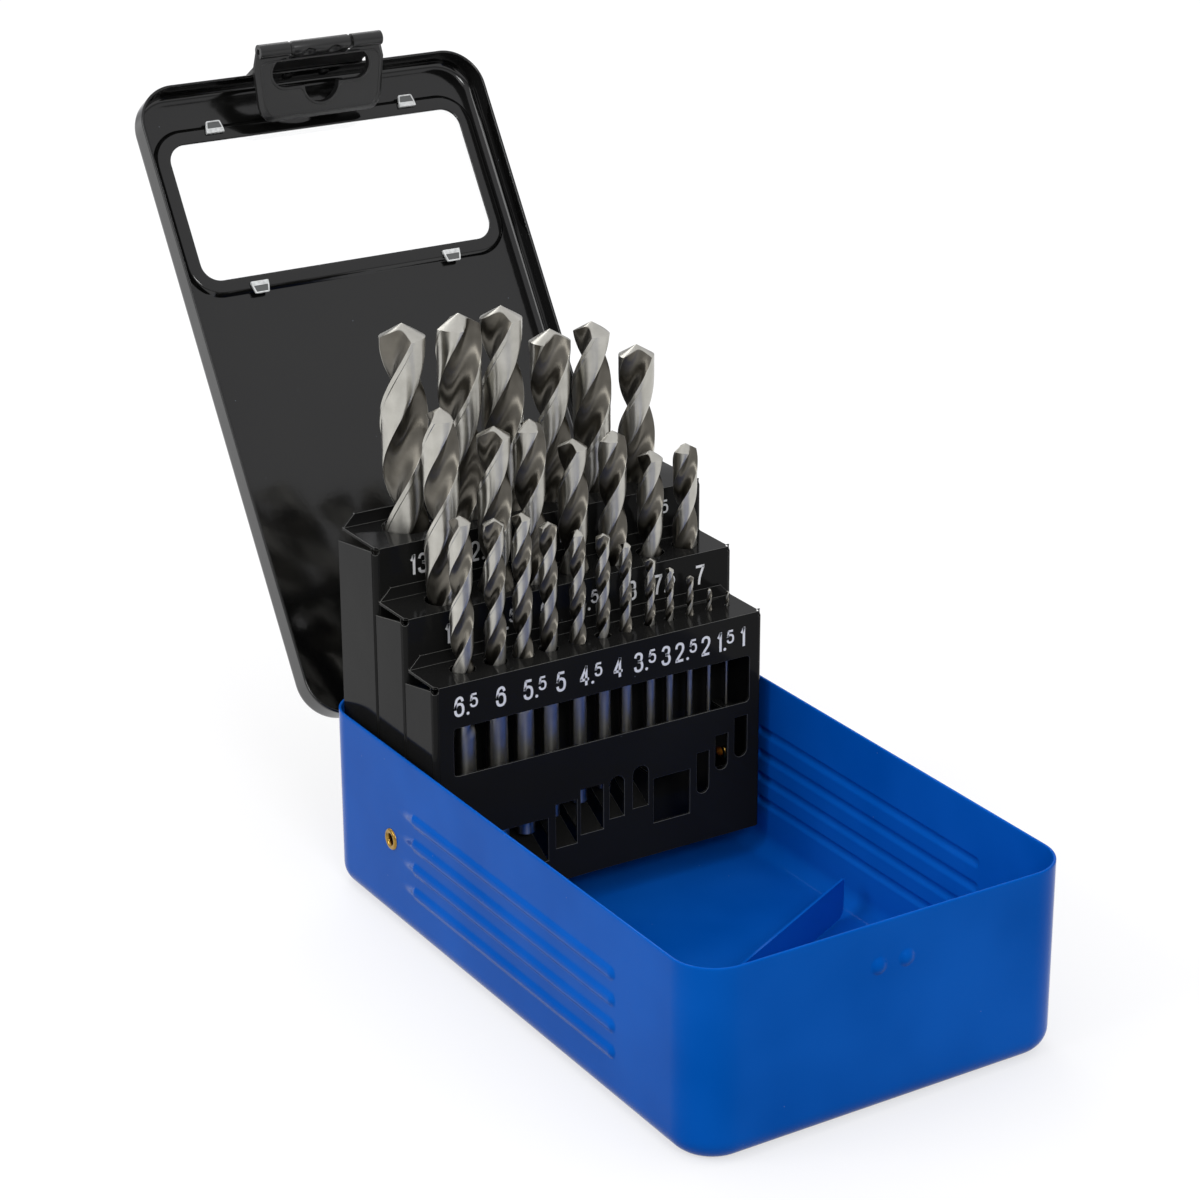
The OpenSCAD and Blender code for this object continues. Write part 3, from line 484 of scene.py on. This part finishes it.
lid_side = np.unique(np.concatenate([[-1, -0.992, 0.992, 1], np.linspace(-0.9, 0.9, 11)]))
lid_end = np.unique(np.concatenate([[-1, -0.986, 0.986, 1], np.linspace(-0.9, 0.9, 9)]))
sx, sy, nx, ny = loop_round(lid_side, lid_end, 18)

# the border's section as distance out from the window's edge and height: flat, then a smooth step
flat_out, step_run, step_end = 3.3, 1.5, 0.25
t = np.linspace(0, 1, 13)
step_out = flat_out + step_run * t
step_up = lid_top - border_step + border_step * (3 * t ** 2 - 2 * t ** 3)
slope = np.gradient(step_up, step_out)
under_out = step_out + wall * slope / np.hypot(1, slope)
under_up = step_up - wall / np.hypot(1, slope)
edge_arc = np.linspace(0, pi, 9)
mid = lid_top - border_step - rim
border_out = np.concatenate([rim * (1 - np.sin(edge_arc)), [0.9], step_out, [step_out[-1] + step_end]])
border_up = np.concatenate([mid - rim * np.cos(edge_arc), [lid_top - border_step], step_up, [lid_top]])
back_out = np.concatenate([[under_out[-1] + step_end], under_out[::-1], [0.9]])
back_up = np.concatenate([[lid_top - wall], under_up[::-1], [lid_top - border_step - wall]])
arc = np.linspace(0, pi / 2, 9)
# width of the narrow flat strip beside each bend
flat = 0.4
pan_in = np.concatenate([
    [lid_edge + flat], lid_edge * (1 - np.sin(arc)), [0, 0], rim * (1 - np.cos(rim_arc)), [wall, wall],
    lid_edge - (lid_edge - wall) * np.sin(arc[::-1]), [lid_edge + flat]])
rim_z = lid_top - lid_h + rim
pan_up = np.concatenate([
    [lid_top], lid_top - lid_edge * (1 - np.cos(arc)), [lid_top - lid_edge - flat, rim_z + flat],
    rim_z - rim * np.sin(rim_arc), [rim_z + flat, lid_top - lid_edge - flat],
    lid_top - lid_edge + (lid_edge - wall) * np.cos(arc[::-1]), [lid_top - wall]])


def window_ring(out):
    """Points round the window, a given distance out from its edge."""
    r = window_r + out
    return (sx[:, None] * (window_w / 2 - window_r) + nx[:, None] * r,
            window_y + sy[:, None] * (window_l / 2 - window_r) + ny[:, None] * r)


def pan_ring(inwards):
    """Points round the lid, a given distance in from its walls."""
    return (sx[:, None] * (case_w / 2 - corner) + nx[:, None] * (corner - inwards),
            sy[:, None] * (case_l / 2 - corner) + ny[:, None] * (corner - inwards))


rings = [window_ring(border_out), pan_ring(pan_in), window_ring(back_out)]
x = np.concatenate([r[0] for r in rings], 1)
y = np.concatenate([r[1] for r in rings], 1)
z = np.broadcast_to(np.concatenate([border_up, pan_up, back_up]), x.shape)
finish_piece("lid_pan", opened(np.stack([x, y, z], -1)).reshape(-1, 3), quads(*x.shape, True, True),
             "lid", "black_enamel", black_enamel, 50, ["lid_shell"])

# ---- Window pane ----
# Injection moulded clear polystyrene, 1 mm thick. Four hooks pass through slots in the border and
# lie bright-edged on its inner side.


def clear_plastic(name):
    """Clear polystyrene: smooth, with a trace of moulding flow that bends what is seen through it."""
    clear, tree = blank_material(name)
    place = add(tree, "ShaderNodeTexCoord").outputs["Object"]
    flow = noise(tree, place, 60.0, 1.0)
    shaded(tree, {"IOR": 1.59, "Roughness": 0.02, "Transmission Weight": 1.0},
           {"Base Color": blend(tree, flow, "#FFFFFF", "#FDFEFE"),
            "Normal": bumped(tree, flow, 0.01, 0.0005)})
    return clear


polystyrene = clear_plastic("clear polystyrene")
pane_t, pane_out, bevel = 1.0, 3.4, 0.12
pane_rise = np.array([0, 0, bevel, pane_t - bevel, pane_t, pane_t])
pane_reach = np.array([-1, pane_out - bevel, pane_out, pane_out, pane_out - bevel, -1])
x, y = window_ring(pane_reach)
x[:, [0, -1]], y[:, [0, -1]] = 0, window_y
z = np.broadcast_to(lid_top - border_step + pane_rise, x.shape)
finish_piece("clear_pane", opened(np.stack([x, y, z], -1)).reshape(-1, 3), quads(*x.shape, True, False),
             "lid", "clear_plastic", polystyrene, 30, ["window_pane"])


def edge_lit(name):
    """Clear polystyrene seen edge-on, drawn opaque: the light led through the pane that leaves it at the
    hooks' rims is painted into their colour as a patchy near white, while their flat middles are painted a
    glassy grey."""
    lit, tree = blank_material(name)
    place = add(tree, "ShaderNodeTexCoord").outputs["Object"]
    rim_mark = add(tree, "ShaderNodeAttribute", attribute_name="rim")
    cloud = noise(tree, place, 900.0, 2.0)
    # painted light: the share of near white at the hooks' rims, made patchy by a fine noise
    patchy_glow = ranged(tree, cloud, 0.35, 0.6, 0.72, 1.0)
    share = add(tree, "ShaderNodeMath", operation="MULTIPLY", links={0: rim_mark.outputs["Fac"], 1: patchy_glow})
    shaded(tree, {"IOR": 1.59}, {"Base Color": blend(tree, share.outputs[0], "#565857", "#E9EBEA"),
                                 "Roughness": ranged(tree, cloud, 0.0, 1.0, 0.12, 0.3)})
    return lit


def tab(outline, steps):
    """A thin plate from its outline, a polygon of points: one ring for each (inset, depth, rim mark),
    moved in from the corners along the bisector; an inset of None draws the ring to the middle."""
    outline = np.array(outline, float)
    run = np.roll(outline, -1, 0) - outline
    out = np.stack([run[:, 1], -run[:, 0]], -1) / np.linalg.norm(run, axis=1)[:, None]
    before = np.roll(out, 1, 0)
    bisector = (out + before) / (1 + (out * before).sum(1))[:, None]
    centre = np.broadcast_to(outline.mean(0), outline.shape)
    flat = np.stack([centre if inset is None else outline - bisector * inset for inset, _, _ in steps], 1)
    deep = np.broadcast_to([d for _, d, _ in steps], flat.shape[:2])
    rim_marks = np.broadcast_to([m for _, _, m in steps], flat.shape[:2])
    points = np.concatenate([flat, deep[..., None]], -1).reshape(-1, 3)
    return points, quads(len(outline), len(steps), True, False), rim_marks.ravel()


def joined(shapes):
    """Several shapes, each its points and faces, as one."""
    points, faces, start = [], [], 0
    for spots, shape in shapes:
        points.append(spots)
        faces += [[start + k for k in face] for face in shape]
        start += len(spots)
    return np.concatenate(points), faces


hook = tab([(-2.75, 0.45), (2.75, 0.45), (2.6, 1.4), (2.2, 3.0),
            (1.9, 3.2), (-1.9, 3.2), (-2.2, 3.0), (-2.6, 1.4)],
           [(None, 0.25, 0), (0.1, 0.25, 1), (0, 0.35, 1), (0, 0.85, 1),
            (0.12, 0.97, 1), (0.42, 0.97, 1), (0.5, 0.8, 0), (None, 0.8, 0)])
stem = tab([(-2.75, -0.5), (2.75, -0.5), (2.75, 0.5), (-2.75, 0.5)],
           [(None, -1.3, 1), (0, -1.3, 1), (0, 0.88, 1), (0.12, 1.0, 1), (None, 1.0, 1)])
hook_x, hook_out = 31.6, 2.6
pieces, marks = [], []
for x0 in (-hook_x, hook_x):
    for s in (-1, 1):
        for spots, shape, rim_marks in (hook, stem):
            pieces.append((opened(np.stack([
                x0 + s * spots[:, 0], window_y + s * (window_l / 2 + hook_out + spots[:, 1]),
                lid_top - border_step - wall - spots[:, 2]], -1)), shape))
            marks.append(rim_marks)
finish_piece("pane_hooks", *joined(pieces), "lid", "clear_plastic", edge_lit("edge-lit polystyrene"), 30,
             marks={"rim": np.concatenate(marks)})

# ---- Closure tongue, its rivets and the hanging bracket ----
# Black polypropylene mouldings with a satin, finely eroded face and soft edges. The tongue is
# riveted to the lid's front wall and snaps over the two dimples; the bracket swings on its steel pin.


def moulded(name, shade, rough):
    """Satin polypropylene: a fine eroded grain of 0.15 mm, drawn at 0.4 mm so that it shows, and
    soft wear in the gloss."""
    stuff, tree = blank_material(name)
    place = add(tree, "ShaderNodeTexCoord").outputs["Object"]
    grain = noise(tree, place, 2500.0, 2.0)
    wear = noise(tree, place, 120.0, 3.0)
    tint = blend(tree, ranged(tree, wear, 0.45, 0.8, 0.0, 0.5), shade, "#262626")
    gloss = ranged(tree, wear, 0.3, 0.7, rough * 0.85, rough * 1.2)
    shaded(tree, {"IOR": 1.49},
           {"Base Color": tint, "Roughness": gloss, "Normal": bumped(tree, grain, 0.12, 0.0001)})
    return stuff


black_plastic = moulded("black polypropylene", "#1B1B1B", 0.34)
softened("closure_tongue", "lid", black_plastic, 0.3)
softened("hanger", "hanger", black_plastic, 0.45)
pin_low, pin_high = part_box("hanger_pin")
pin_y, pin_z = ((pin_low[k] + pin_high[k]) * 500 for k in (1, 2))


def bead(path, half_width, closed=True):
    """A moulded bead along a path in the bracket's front face: an oval section, half as high as it
    is wide, carried along the path on its normals. Half width: one value, or one for each point."""
    run = np.roll(path, -1, 0) - np.roll(path, 1, 0) if closed else np.gradient(path, axis=0)
    out = np.stack([run[:, 1], -run[:, 0]], -1) / np.linalg.norm(run, axis=1)[:, None]
    r = np.broadcast_to(half_width, len(path))[:, None]
    a = np.arange(12) * 2 * pi / 12
    across = path[:, None, :] + out[:, None, :] * (r * np.cos(a))[..., None]
    front = pin_y - bead_ahead - 0.5 * r * np.sin(a)
    points = np.stack([across[..., 0], front, pin_z + across[..., 1]], -1).reshape(-1, 3)
    return points, quads(len(path), 12, closed, True)


def sampled(corners, radius, count=7):
    """A closed polygon with its corners rounded: each corner becomes an arc of a quadratic curve
    (1 - t)^2 a + 2 t (1 - t) corner + t^2 b between points at the given distance from it."""
    corners = np.array(corners, float)
    onward, backward = np.roll(corners, -1, 0) - corners, np.roll(corners, 1, 0) - corners
    long_on, long_back = (np.linalg.norm(way, axis=1)[:, None] for way in (onward, backward))
    b = corners + onward / long_on * np.minimum(radius, long_on * 0.45)
    a = corners + backward / long_back * np.minimum(radius, long_back * 0.45)
    t = np.linspace(0, 1, count)[None, :, None]
    return ((1 - t) ** 2 * a[:, None] + 2 * t * (1 - t) * corners[:, None] + t * t * b[:, None]).reshape(-1, 2)


bead_ahead, knuckle_r, slot_gap = 0.4, 2.1, 0.4
bracket_w, bracket_l, slot_l, slot_r, notch_r = 21.0 - 1.5, 21.0, 11.35, 4.35, 5.55
outer_bead = sampled([
    (-bracket_w + 1.2, -3.2), (-bracket_w, -5.5), (-bracket_w + 1.1, -bracket_l + 4.5),
    (-bracket_w + 3.0, -bracket_l + 1.6), (bracket_w - 3.0, -bracket_l + 1.6),
    (bracket_w - 1.1, -bracket_l + 4.5), (bracket_w, -5.5), (bracket_w - 1.2, -3.2)], 2.0)
finish_piece("bracket_rim_bead", *bead(outer_bead, 0.3), "hanger", "black_plastic", black_plastic, 60)

# the bead under the slot follows its round ends and the half round notch, a little way off the edge
slot_mid = -knuckle_r - slot_gap - slot_r
off, shoulder = 0.55, 0.9
a = np.linspace(-pi / 2, pi / 2, 17)
round_end = np.stack([slot_l + (slot_r + off) * np.cos(a), slot_mid + (slot_r + off) * np.sin(a)], -1)[:-5]
b = np.linspace(pi, 2 * pi, 25)[2:-2]
round_notch = np.stack([(notch_r + off) * np.cos(b), slot_mid - slot_r + (notch_r + off) * np.sin(b)], -1)
under_slot = np.concatenate([
    (round_end * (-1, 1))[::-1], [(-notch_r - off - shoulder, slot_mid - slot_r - off)], round_notch,
    [(notch_r + off + shoulder, slot_mid - slot_r - off)], round_end])
# it thins to nothing at both of its ends, over four points of the path
count = np.arange(len(under_slot))
thinned = 0.28 * np.sqrt(np.clip(np.minimum(count, count[::-1]) / 4, 0, 1))
finish_piece("bracket_slot_bead", *bead(under_slot, thinned, closed=False), "hanger", "black_plastic",
             black_plastic, 60)
softened("hanger_pin", "lid", plated, 0.15)
blacked = metal("blackened steel", "#262626", "#181818", 0.4, 900, 300)
softened("tongue_rivet_left", "lid", blacked, 0)
softened("tongue_rivet_right", "lid", blacked, 0)

# ---- Hinge ----
# Piano hinge: a steel pin through five knuckles. One leaf is spot welded to the outside of each
# rear wall before painting, with the barrel half sunk in a slot of the base.
softened("hinge_leaf_base", "base", blue_enamel, 0.15)
softened("hinge_leaf_lid", "lid", black_enamel, 0.15)
softened("hinge_pin", "base", plated, 0.15)

# ---- Rack ----
# Three bent channels and a rest plate of 0.8 mm sheet in the same black enamel. The holes are
# punched, the rest tabs lanced and the corners relieved before bending.
rack_enamel = painted_steel("black dipped enamel", "#191919", "#1D1D1C", 0.1, 0.25, 0.055)
# the lighter grey on the rack's rounded edges is a painted highlight along them, not a colour of the sheet
rack_edge_highlight = painted_steel("black enamel edge with painted highlight", "#4C4C4A", "#60605C", 0.22, 0.0, 0.5)
for node in ("front_bank", "middle_bank", "back_bank", "rest_plate"):
    softened(node, "rack", rack_enamel, 0.08, highlight_paint=rack_edge_highlight)

# ---- Sizes printed on the banks ----
# Screen printed white ink, condensed sans figures 5.8 mm high, with the half as a raised small figure.
ink = painted_steel("white screen ink", "#EDEEF0", "#E2E3E6", 0.4, 0.0, 0.4)


def smooth_path(knots, count):
    """A rounded path through knots: Catmull-Rom pieces, p = a + b s + c s^2 + d s^3 between neighbours."""
    knots = np.array(knots, float)
    padded = np.concatenate([[2 * knots[0] - knots[1]], knots, [2 * knots[-1] - knots[-2]]])
    s = np.linspace(0, len(knots) - 1, count)
    k = np.minimum(s.astype(int), len(knots) - 2)
    f = (s - k)[:, None]
    p0, p1, p2, p3 = (padded[k + i] for i in range(4))
    return p1 + 0.5 * f * (p2 - p0 + f * (2 * p0 - 5 * p1 + 4 * p2 - p3 + f * (3 * (p1 - p2) + p3 - p0)))


def bowl(middle, half_high, half_wide=0.5):
    """A closed stroke round a rounded oval: x^n + y^n = 1 with n = 2.4, as condensed figures have."""
    a = np.linspace(0, 2 * pi, 41)
    c, s = np.cos(a), np.sin(a)
    across, up = (np.sign(v) * np.abs(v) ** 0.83 for v in (c, s))
    return np.stack([0.5 + half_wide * across, middle + half_high * up], -1)


# strokes of the figures in a box one wide and one high: curved ones as smooth paths, bars as two points
six = [smooth_path([(0.95, 0.77), (0.82, 0.94), (0.55, 1.0), (0.2, 0.9), (0.04, 0.62), (0, 0.32)], 22),
       bowl(0.32, 0.32)]
strokes_of = {
    "0": [bowl(0.5, 0.5)],
    "1": [smooth_path([(0.0, 0.74), (0.5, 0.84), (1.0, 1.05)], 9), np.array([(1.0, -0.07), (1.0, 1.07)])],
    "2": [smooth_path([(0.02, 0.72), (0.14, 0.93), (0.5, 1.0), (0.87, 0.92), (0.97, 0.72), (0.85, 0.52),
                       (0.4, 0.24), (0.05, 0.02)], 30),
          np.array([(-0.08, 0.0), (1.0, 0.0)])],
    "3": [smooth_path([(0.04, 0.78), (0.2, 0.96), (0.5, 1.0), (0.84, 0.93), (0.92, 0.75), (0.78, 0.58),
                       (0.42, 0.54)], 24),
          smooth_path([(0.42, 0.54), (0.85, 0.48), (1.0, 0.27), (0.86, 0.06), (0.5, 0.0), (0.15, 0.06),
                       (0.01, 0.26)], 26)],
    "4": [np.array([(0.74, -0.07), (0.74, 1.05)]), np.array([(0.8, 1.04), (0.0, 0.27)]),
          np.array([(-0.08, 0.27), (1.1, 0.27)])],
    "5": [np.array([(0.95, 1.0), (0.16, 1.0)]), np.array([(0.2, 1.0), (0.05, 0.47)]),
          smooth_path([(0.05, 0.5), (0.25, 0.63), (0.55, 0.66), (0.88, 0.57), (1.0, 0.34), (0.88, 0.08),
                       (0.5, 0.0), (0.15, 0.07), (0.01, 0.25)], 34)],
    "6": six,
    "7": [np.array([(-0.08, 1.0), (1.1, 1.0)]),
          smooth_path([(0.99, 0.98), (0.68, 0.64), (0.46, 0.32), (0.36, -0.07)], 16)],
    "8": [bowl(0.76, 0.24, 0.43), bowl(0.27, 0.27)],
    "9": [1 - stroke for stroke in six],
}


def ribbon(path, thick):
    """A flat stripe of a pen drawn along a path: each point moved to both sides along the normal."""
    run = np.gradient(path, axis=0)
    if np.allclose(path[0], path[-1]):
        run[0] = run[-1] = path[1] - path[-2]
    run /= np.linalg.norm(run, axis=1)[:, None]
    out = run[:, ::-1] * (-0.5 * thick, 0.5 * thick)
    return np.stack([path + out, path - out], 1).reshape(-1, 2), quads(len(path), 2, False, False)


def figure(character, height, width, thick):
    """The flat stripes of one figure, fitted so that its inked outline has the height and width."""
    if character == ".":
        a = np.linspace(0, 2 * pi, 17)[:-1]
        return np.stack([np.cos(a), np.sin(a)], -1) * width / 2 + width / 2, [list(range(16))]
    return joined([ribbon(stroke * (width - thick, height - thick) + thick / 2, thick)
                   for stroke in strokes_of[character]])


# each bank's name, front face, top, and its sizes with their middles across it
banks = (
    ("front", 37.9, 75.7, (
        ("6.5", -42.4), ("6", -31.8), ("5.5", -21.4), ("5", -13.3), ("4.5", -3.9), ("4", 4.7),
        ("3.5", 13.3), ("3", 20.1), ("2.5", 26.6), ("2", 33.1), ("1.5", 39.6), ("1", 45.3))),
    ("middle", 53.5, 89.8, (
        ("10", -37.0), ("9.5", -21.2), ("9", -8.6), ("8.5", 4.6), ("8", 18.9), ("7.5", 29.4), ("7", 41.3))),
    ("back", 69.1, 104.6, (
        ("13", -38.6), ("12.5", -20.5), ("12", -5.6), ("11.5", 8.6), ("11", 22.8), ("10.5", 36.0))),
)
# heights, widths and pen strokes of the figures; a half is a point and a small raised 5
tall, tall_w, one_w, tall_stroke = 5.8, 3.1, 1.6, 0.76
small, small_w, small_stroke, dot, half_w = 4.0, 2.5, 0.6, 0.9, 4.1
space, below_top, proud = 0.75, 9.4, 0.02
for bank, face_y, top_of, row in banks:
    pieces = []
    for words, middle in row:
        whole, _, half = words.partition(".")
        widths = [one_w if c == "1" else tall_w for c in whole]
        at = middle - (sum(widths) + space * (len(whole) - 1) + (half_w if half else 0)) / 2
        signs = []
        for c, w in zip(whole, widths):
            signs.append((c, tall, w, at, 0.0))
            at += w + space
        if half:
            signs += [(".", dot, dot, at - 0.15, 0.0), ("5", small, small_w, at + 0.85, tall - small)]
        for c, h, w, left, up in signs:
            spots, shape = figure(c, h, w, tall_stroke if h == tall else small_stroke)
            pieces.append((np.stack([spots[:, 0] + left, np.full(len(spots), face_y - proud),
                                     spots[:, 1] + up + top_of - below_top], -1), shape))
    print_piece = finish_piece(bank + "_bank_sizes", *joined(pieces), "rack", "black_enamel", ink)
    for polygon in print_piece.data.polygons:
        if polygon.normal.y > 0:
            polygon.flip()

# ---- Drills ----
# High speed steel jobber drills from 13 to 1 mm: cylindrical shank, two right-hand flutes at 30 degrees,
# ground lands with a narrow margin, and a 118 degree point. Lands and shank are bright, flutes darker.


def drill_steel(name):
    """Ground high speed steel: bright lands with grinding lines round the drill, and flutes coloured darker
    and with a rougher gloss. The flute attribute runs from 0 on a land to 1 in a flute."""
    steel, tree = blank_material(name)
    place = add(tree, "ShaderNodeTexCoord").outputs["Object"]
    where = add(tree, "ShaderNodeAttribute", attribute_name="flute").outputs["Fac"]
    lay = add(tree, "ShaderNodeMapping", {"Scale": (60, 60, 2600)}, {"Vector": place})
    lines = noise(tree, lay.outputs[0], 1.0, 2.0)
    cloud = noise(tree, place, 260.0, 3.0)
    bright = blend(tree, cloud, "#A6A49C", "#C9C7C0")
    dull = blend(tree, cloud, "#57544D", "#78746C")
    tint = add(tree, "ShaderNodeMix", links={0: where, "A": bright, "B": dull}, data_type="RGBA")
    # the grinding lines run round the drill, so a lamp's reflection is drawn out along its length
    length_way = add(tree, "ShaderNodeCombineXYZ", {"Z": 1.0})
    with_drill = add(tree, "ShaderNodeVectorTransform", links={0: length_way.outputs[0]},
                     vector_type="VECTOR", convert_from="OBJECT", convert_to="WORLD")
    shaded(tree, {"Metallic": 1.0, "Anisotropic": 0.75},
           {"Base Color": tint.outputs["Result"], "Roughness": ranged(tree, where, 0.0, 1.0, 0.32, 0.36),
            "Normal": bumped(tree, lines, 0.1, 0.0002), "Tangent": with_drill.outputs[0]})
    return steel


steel = drill_steel("ground high speed steel")
point_slope = tan(radians(90 - 118 / 2))


def land_and_flute():
    """Half of the fluted section at radius 1: the margin and land as arcs, then the flute from the heel
    down to the web and out along the straight cutting face. Returns points and whether each is in the
    flute (1) or on the land (0)."""
    land_a = radians(1) * np.array([0, 4, 8, 11, 13, 20, 30, 40, 50, 60, 68, 74, 78])
    land_r = np.array([1, 1, 1, 1, 0.965, 0.96, 0.96, 0.96, 0.96, 0.96, 0.958, 0.95, 0.93])
    land = np.stack([land_r * np.cos(land_a), land_r * np.sin(land_a)], -1)
    heel = land[-1] * 0.97
    flute = smooth_path([heel, (0.06, 0.72), (-0.07, 0.5), (-0.2, 0.33), (-0.38, 0.22), (-0.6, 0.15),
                         (-0.82, 0.09), (-0.985, 0.01)], 19)
    return np.concatenate([land, flute]), np.concatenate([np.zeros(len(land)), np.ones(len(flute))])


half, deep = land_and_flute()
section = np.concatenate([half, -half])
in_flute = np.concatenate([deep, deep])
# rings to one turn of the helix, least count of rings, last share of them drawn to the point's
# cone, length of the run-out in diameters, and how far the drill lies within its solid
turn_rings, least_rings, cone_share, run_out, within = 54, 24, 0.06, 1.3, 0.01


def drill(size, diameter, length, flute_length, x, y, z, turn):
    """One drill: the section swept up the helix, angle = turn + 2 pi h / lead, fading out of the full
    circle at the flute's run-out, its last rows drawn to the cone of the point, on a plain shank."""
    node = "drill_" + size
    r = diameter / 2 - within
    shank = length - flute_length
    lead = pi * diameter / tan(radians(30))
    reach = np.hypot(*section.T)
    full_angle = np.unwrap(np.arctan2(section[:, 1], section[:, 0]))
    rows = int(max(least_rings, np.ceil(flute_length / lead * turn_rings)))
    share = np.linspace(0, 1, rows)[:, None]
    tip_at = flute_length - r * reach * point_slope
    edge_at = flute_length - r * point_slope
    drawn = tip_at - (1 - share) / cone_share * (tip_at - (1 - cone_share) * edge_at)
    h = np.where(share > 1 - cone_share, drawn, share * edge_at)
    fade = np.clip(h / (run_out * diameter), 0, 1)
    fade = fade * fade * (3 - 2 * fade)
    ring_angle = full_angle[0] + np.linspace(0, 2 * pi, len(section), endpoint=False)
    radius = r * (1 - fade * (1 - reach))
    angle = full_angle * fade + ring_angle * (1 - fade) + turn + 2 * pi * h / lead
    body = np.stack([radius * np.cos(angle), radius * np.sin(angle), shank + h], -1)
    # the point: rings from the edge of the body in to the chisel, all on the cone
    last = body[-1]
    shares = np.array([0.8, 0.55, 0.3, 0.12])[:, None]
    down = np.hypot(last[:, 0], last[:, 1]) * shares * point_slope
    cone = np.stack([last[:, 0] * shares, last[:, 1] * shares, length - down], -1)
    # the shank, with a small chamfer at its foot
    a = ring_angle + turn
    c = min(0.4, 0.12 * diameter)
    shank_r = np.array([r - c, r, r])[:, None]
    shank_h = np.array([0, c, shank * 0.5])[:, None]
    foot = np.stack([shank_r * np.cos(a), shank_r * np.sin(a), np.broadcast_to(shank_h, (3, len(a)))], -1)
    grid = np.concatenate([foot, body, cone])
    marks = np.concatenate([np.zeros((3, len(a))), in_flute * fade, np.zeros((4, len(a)))])
    n_rows, n = grid.shape[:2]
    points = np.concatenate([grid.reshape(-1, 3), [[0, 0, length]]]) + (x, y, z)
    top_ring = (n_rows - 1) * n + np.arange(n)
    faces = quads(n_rows, n, False, True)
    faces += np.stack([top_ring, np.roll(top_ring, -1), np.full(n, n_rows * n)], -1).tolist()
    faces.append(list(range(n))[::-1])
    mesh = bpy.data.meshes.new("twist_" + node)
    mesh.from_pydata((points / 1000).tolist(), [], faces)
    mesh.attributes.new("flute", "FLOAT", "POINT").data.foreach_set(
        "value", np.append(marks.ravel(), 0).astype(np.float32))
    mesh.shade_smooth()
    mesh.set_sharp_from_angle(angle=radians(38))
    mesh.materials.append(steel)
    piece = bpy.data.objects.new("twist_" + node, mesh)
    scene.collection.objects.link(piece)
    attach(piece, node + "_bit")
    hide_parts(node)


# standard jobber drills: diameter above which a row holds, length and flute length
jobber = ((11.8, 151, 101), (10.6, 142, 94), (9.5, 133, 87), (8.5, 125, 81), (7.5, 117, 75),
          (6.7, 109, 69), (6, 101, 63), (5.3, 93, 57), (4.75, 86, 52), (4.25, 80, 47), (3.75, 75, 43),
          (3.35, 70, 39), (2.8, 61, 33), (2.3, 57, 30), (1.9, 49, 24), (1.32, 40, 18), (0, 34, 12))
for step in range(26, 1, -1):
    diameter = step / 2
    size = f"{step // 2}_{'5' if step % 2 else '0'}"
    length, flute_length = next((n, f) for over, n, f in jobber if diameter > over)
    low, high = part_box("drill_" + size)
    place = [(low[k] + high[k]) * 500 for k in (0, 1)] + [low[2] * 1000]
    drill(size, diameter, length, flute_length, *place, step * 1.9)
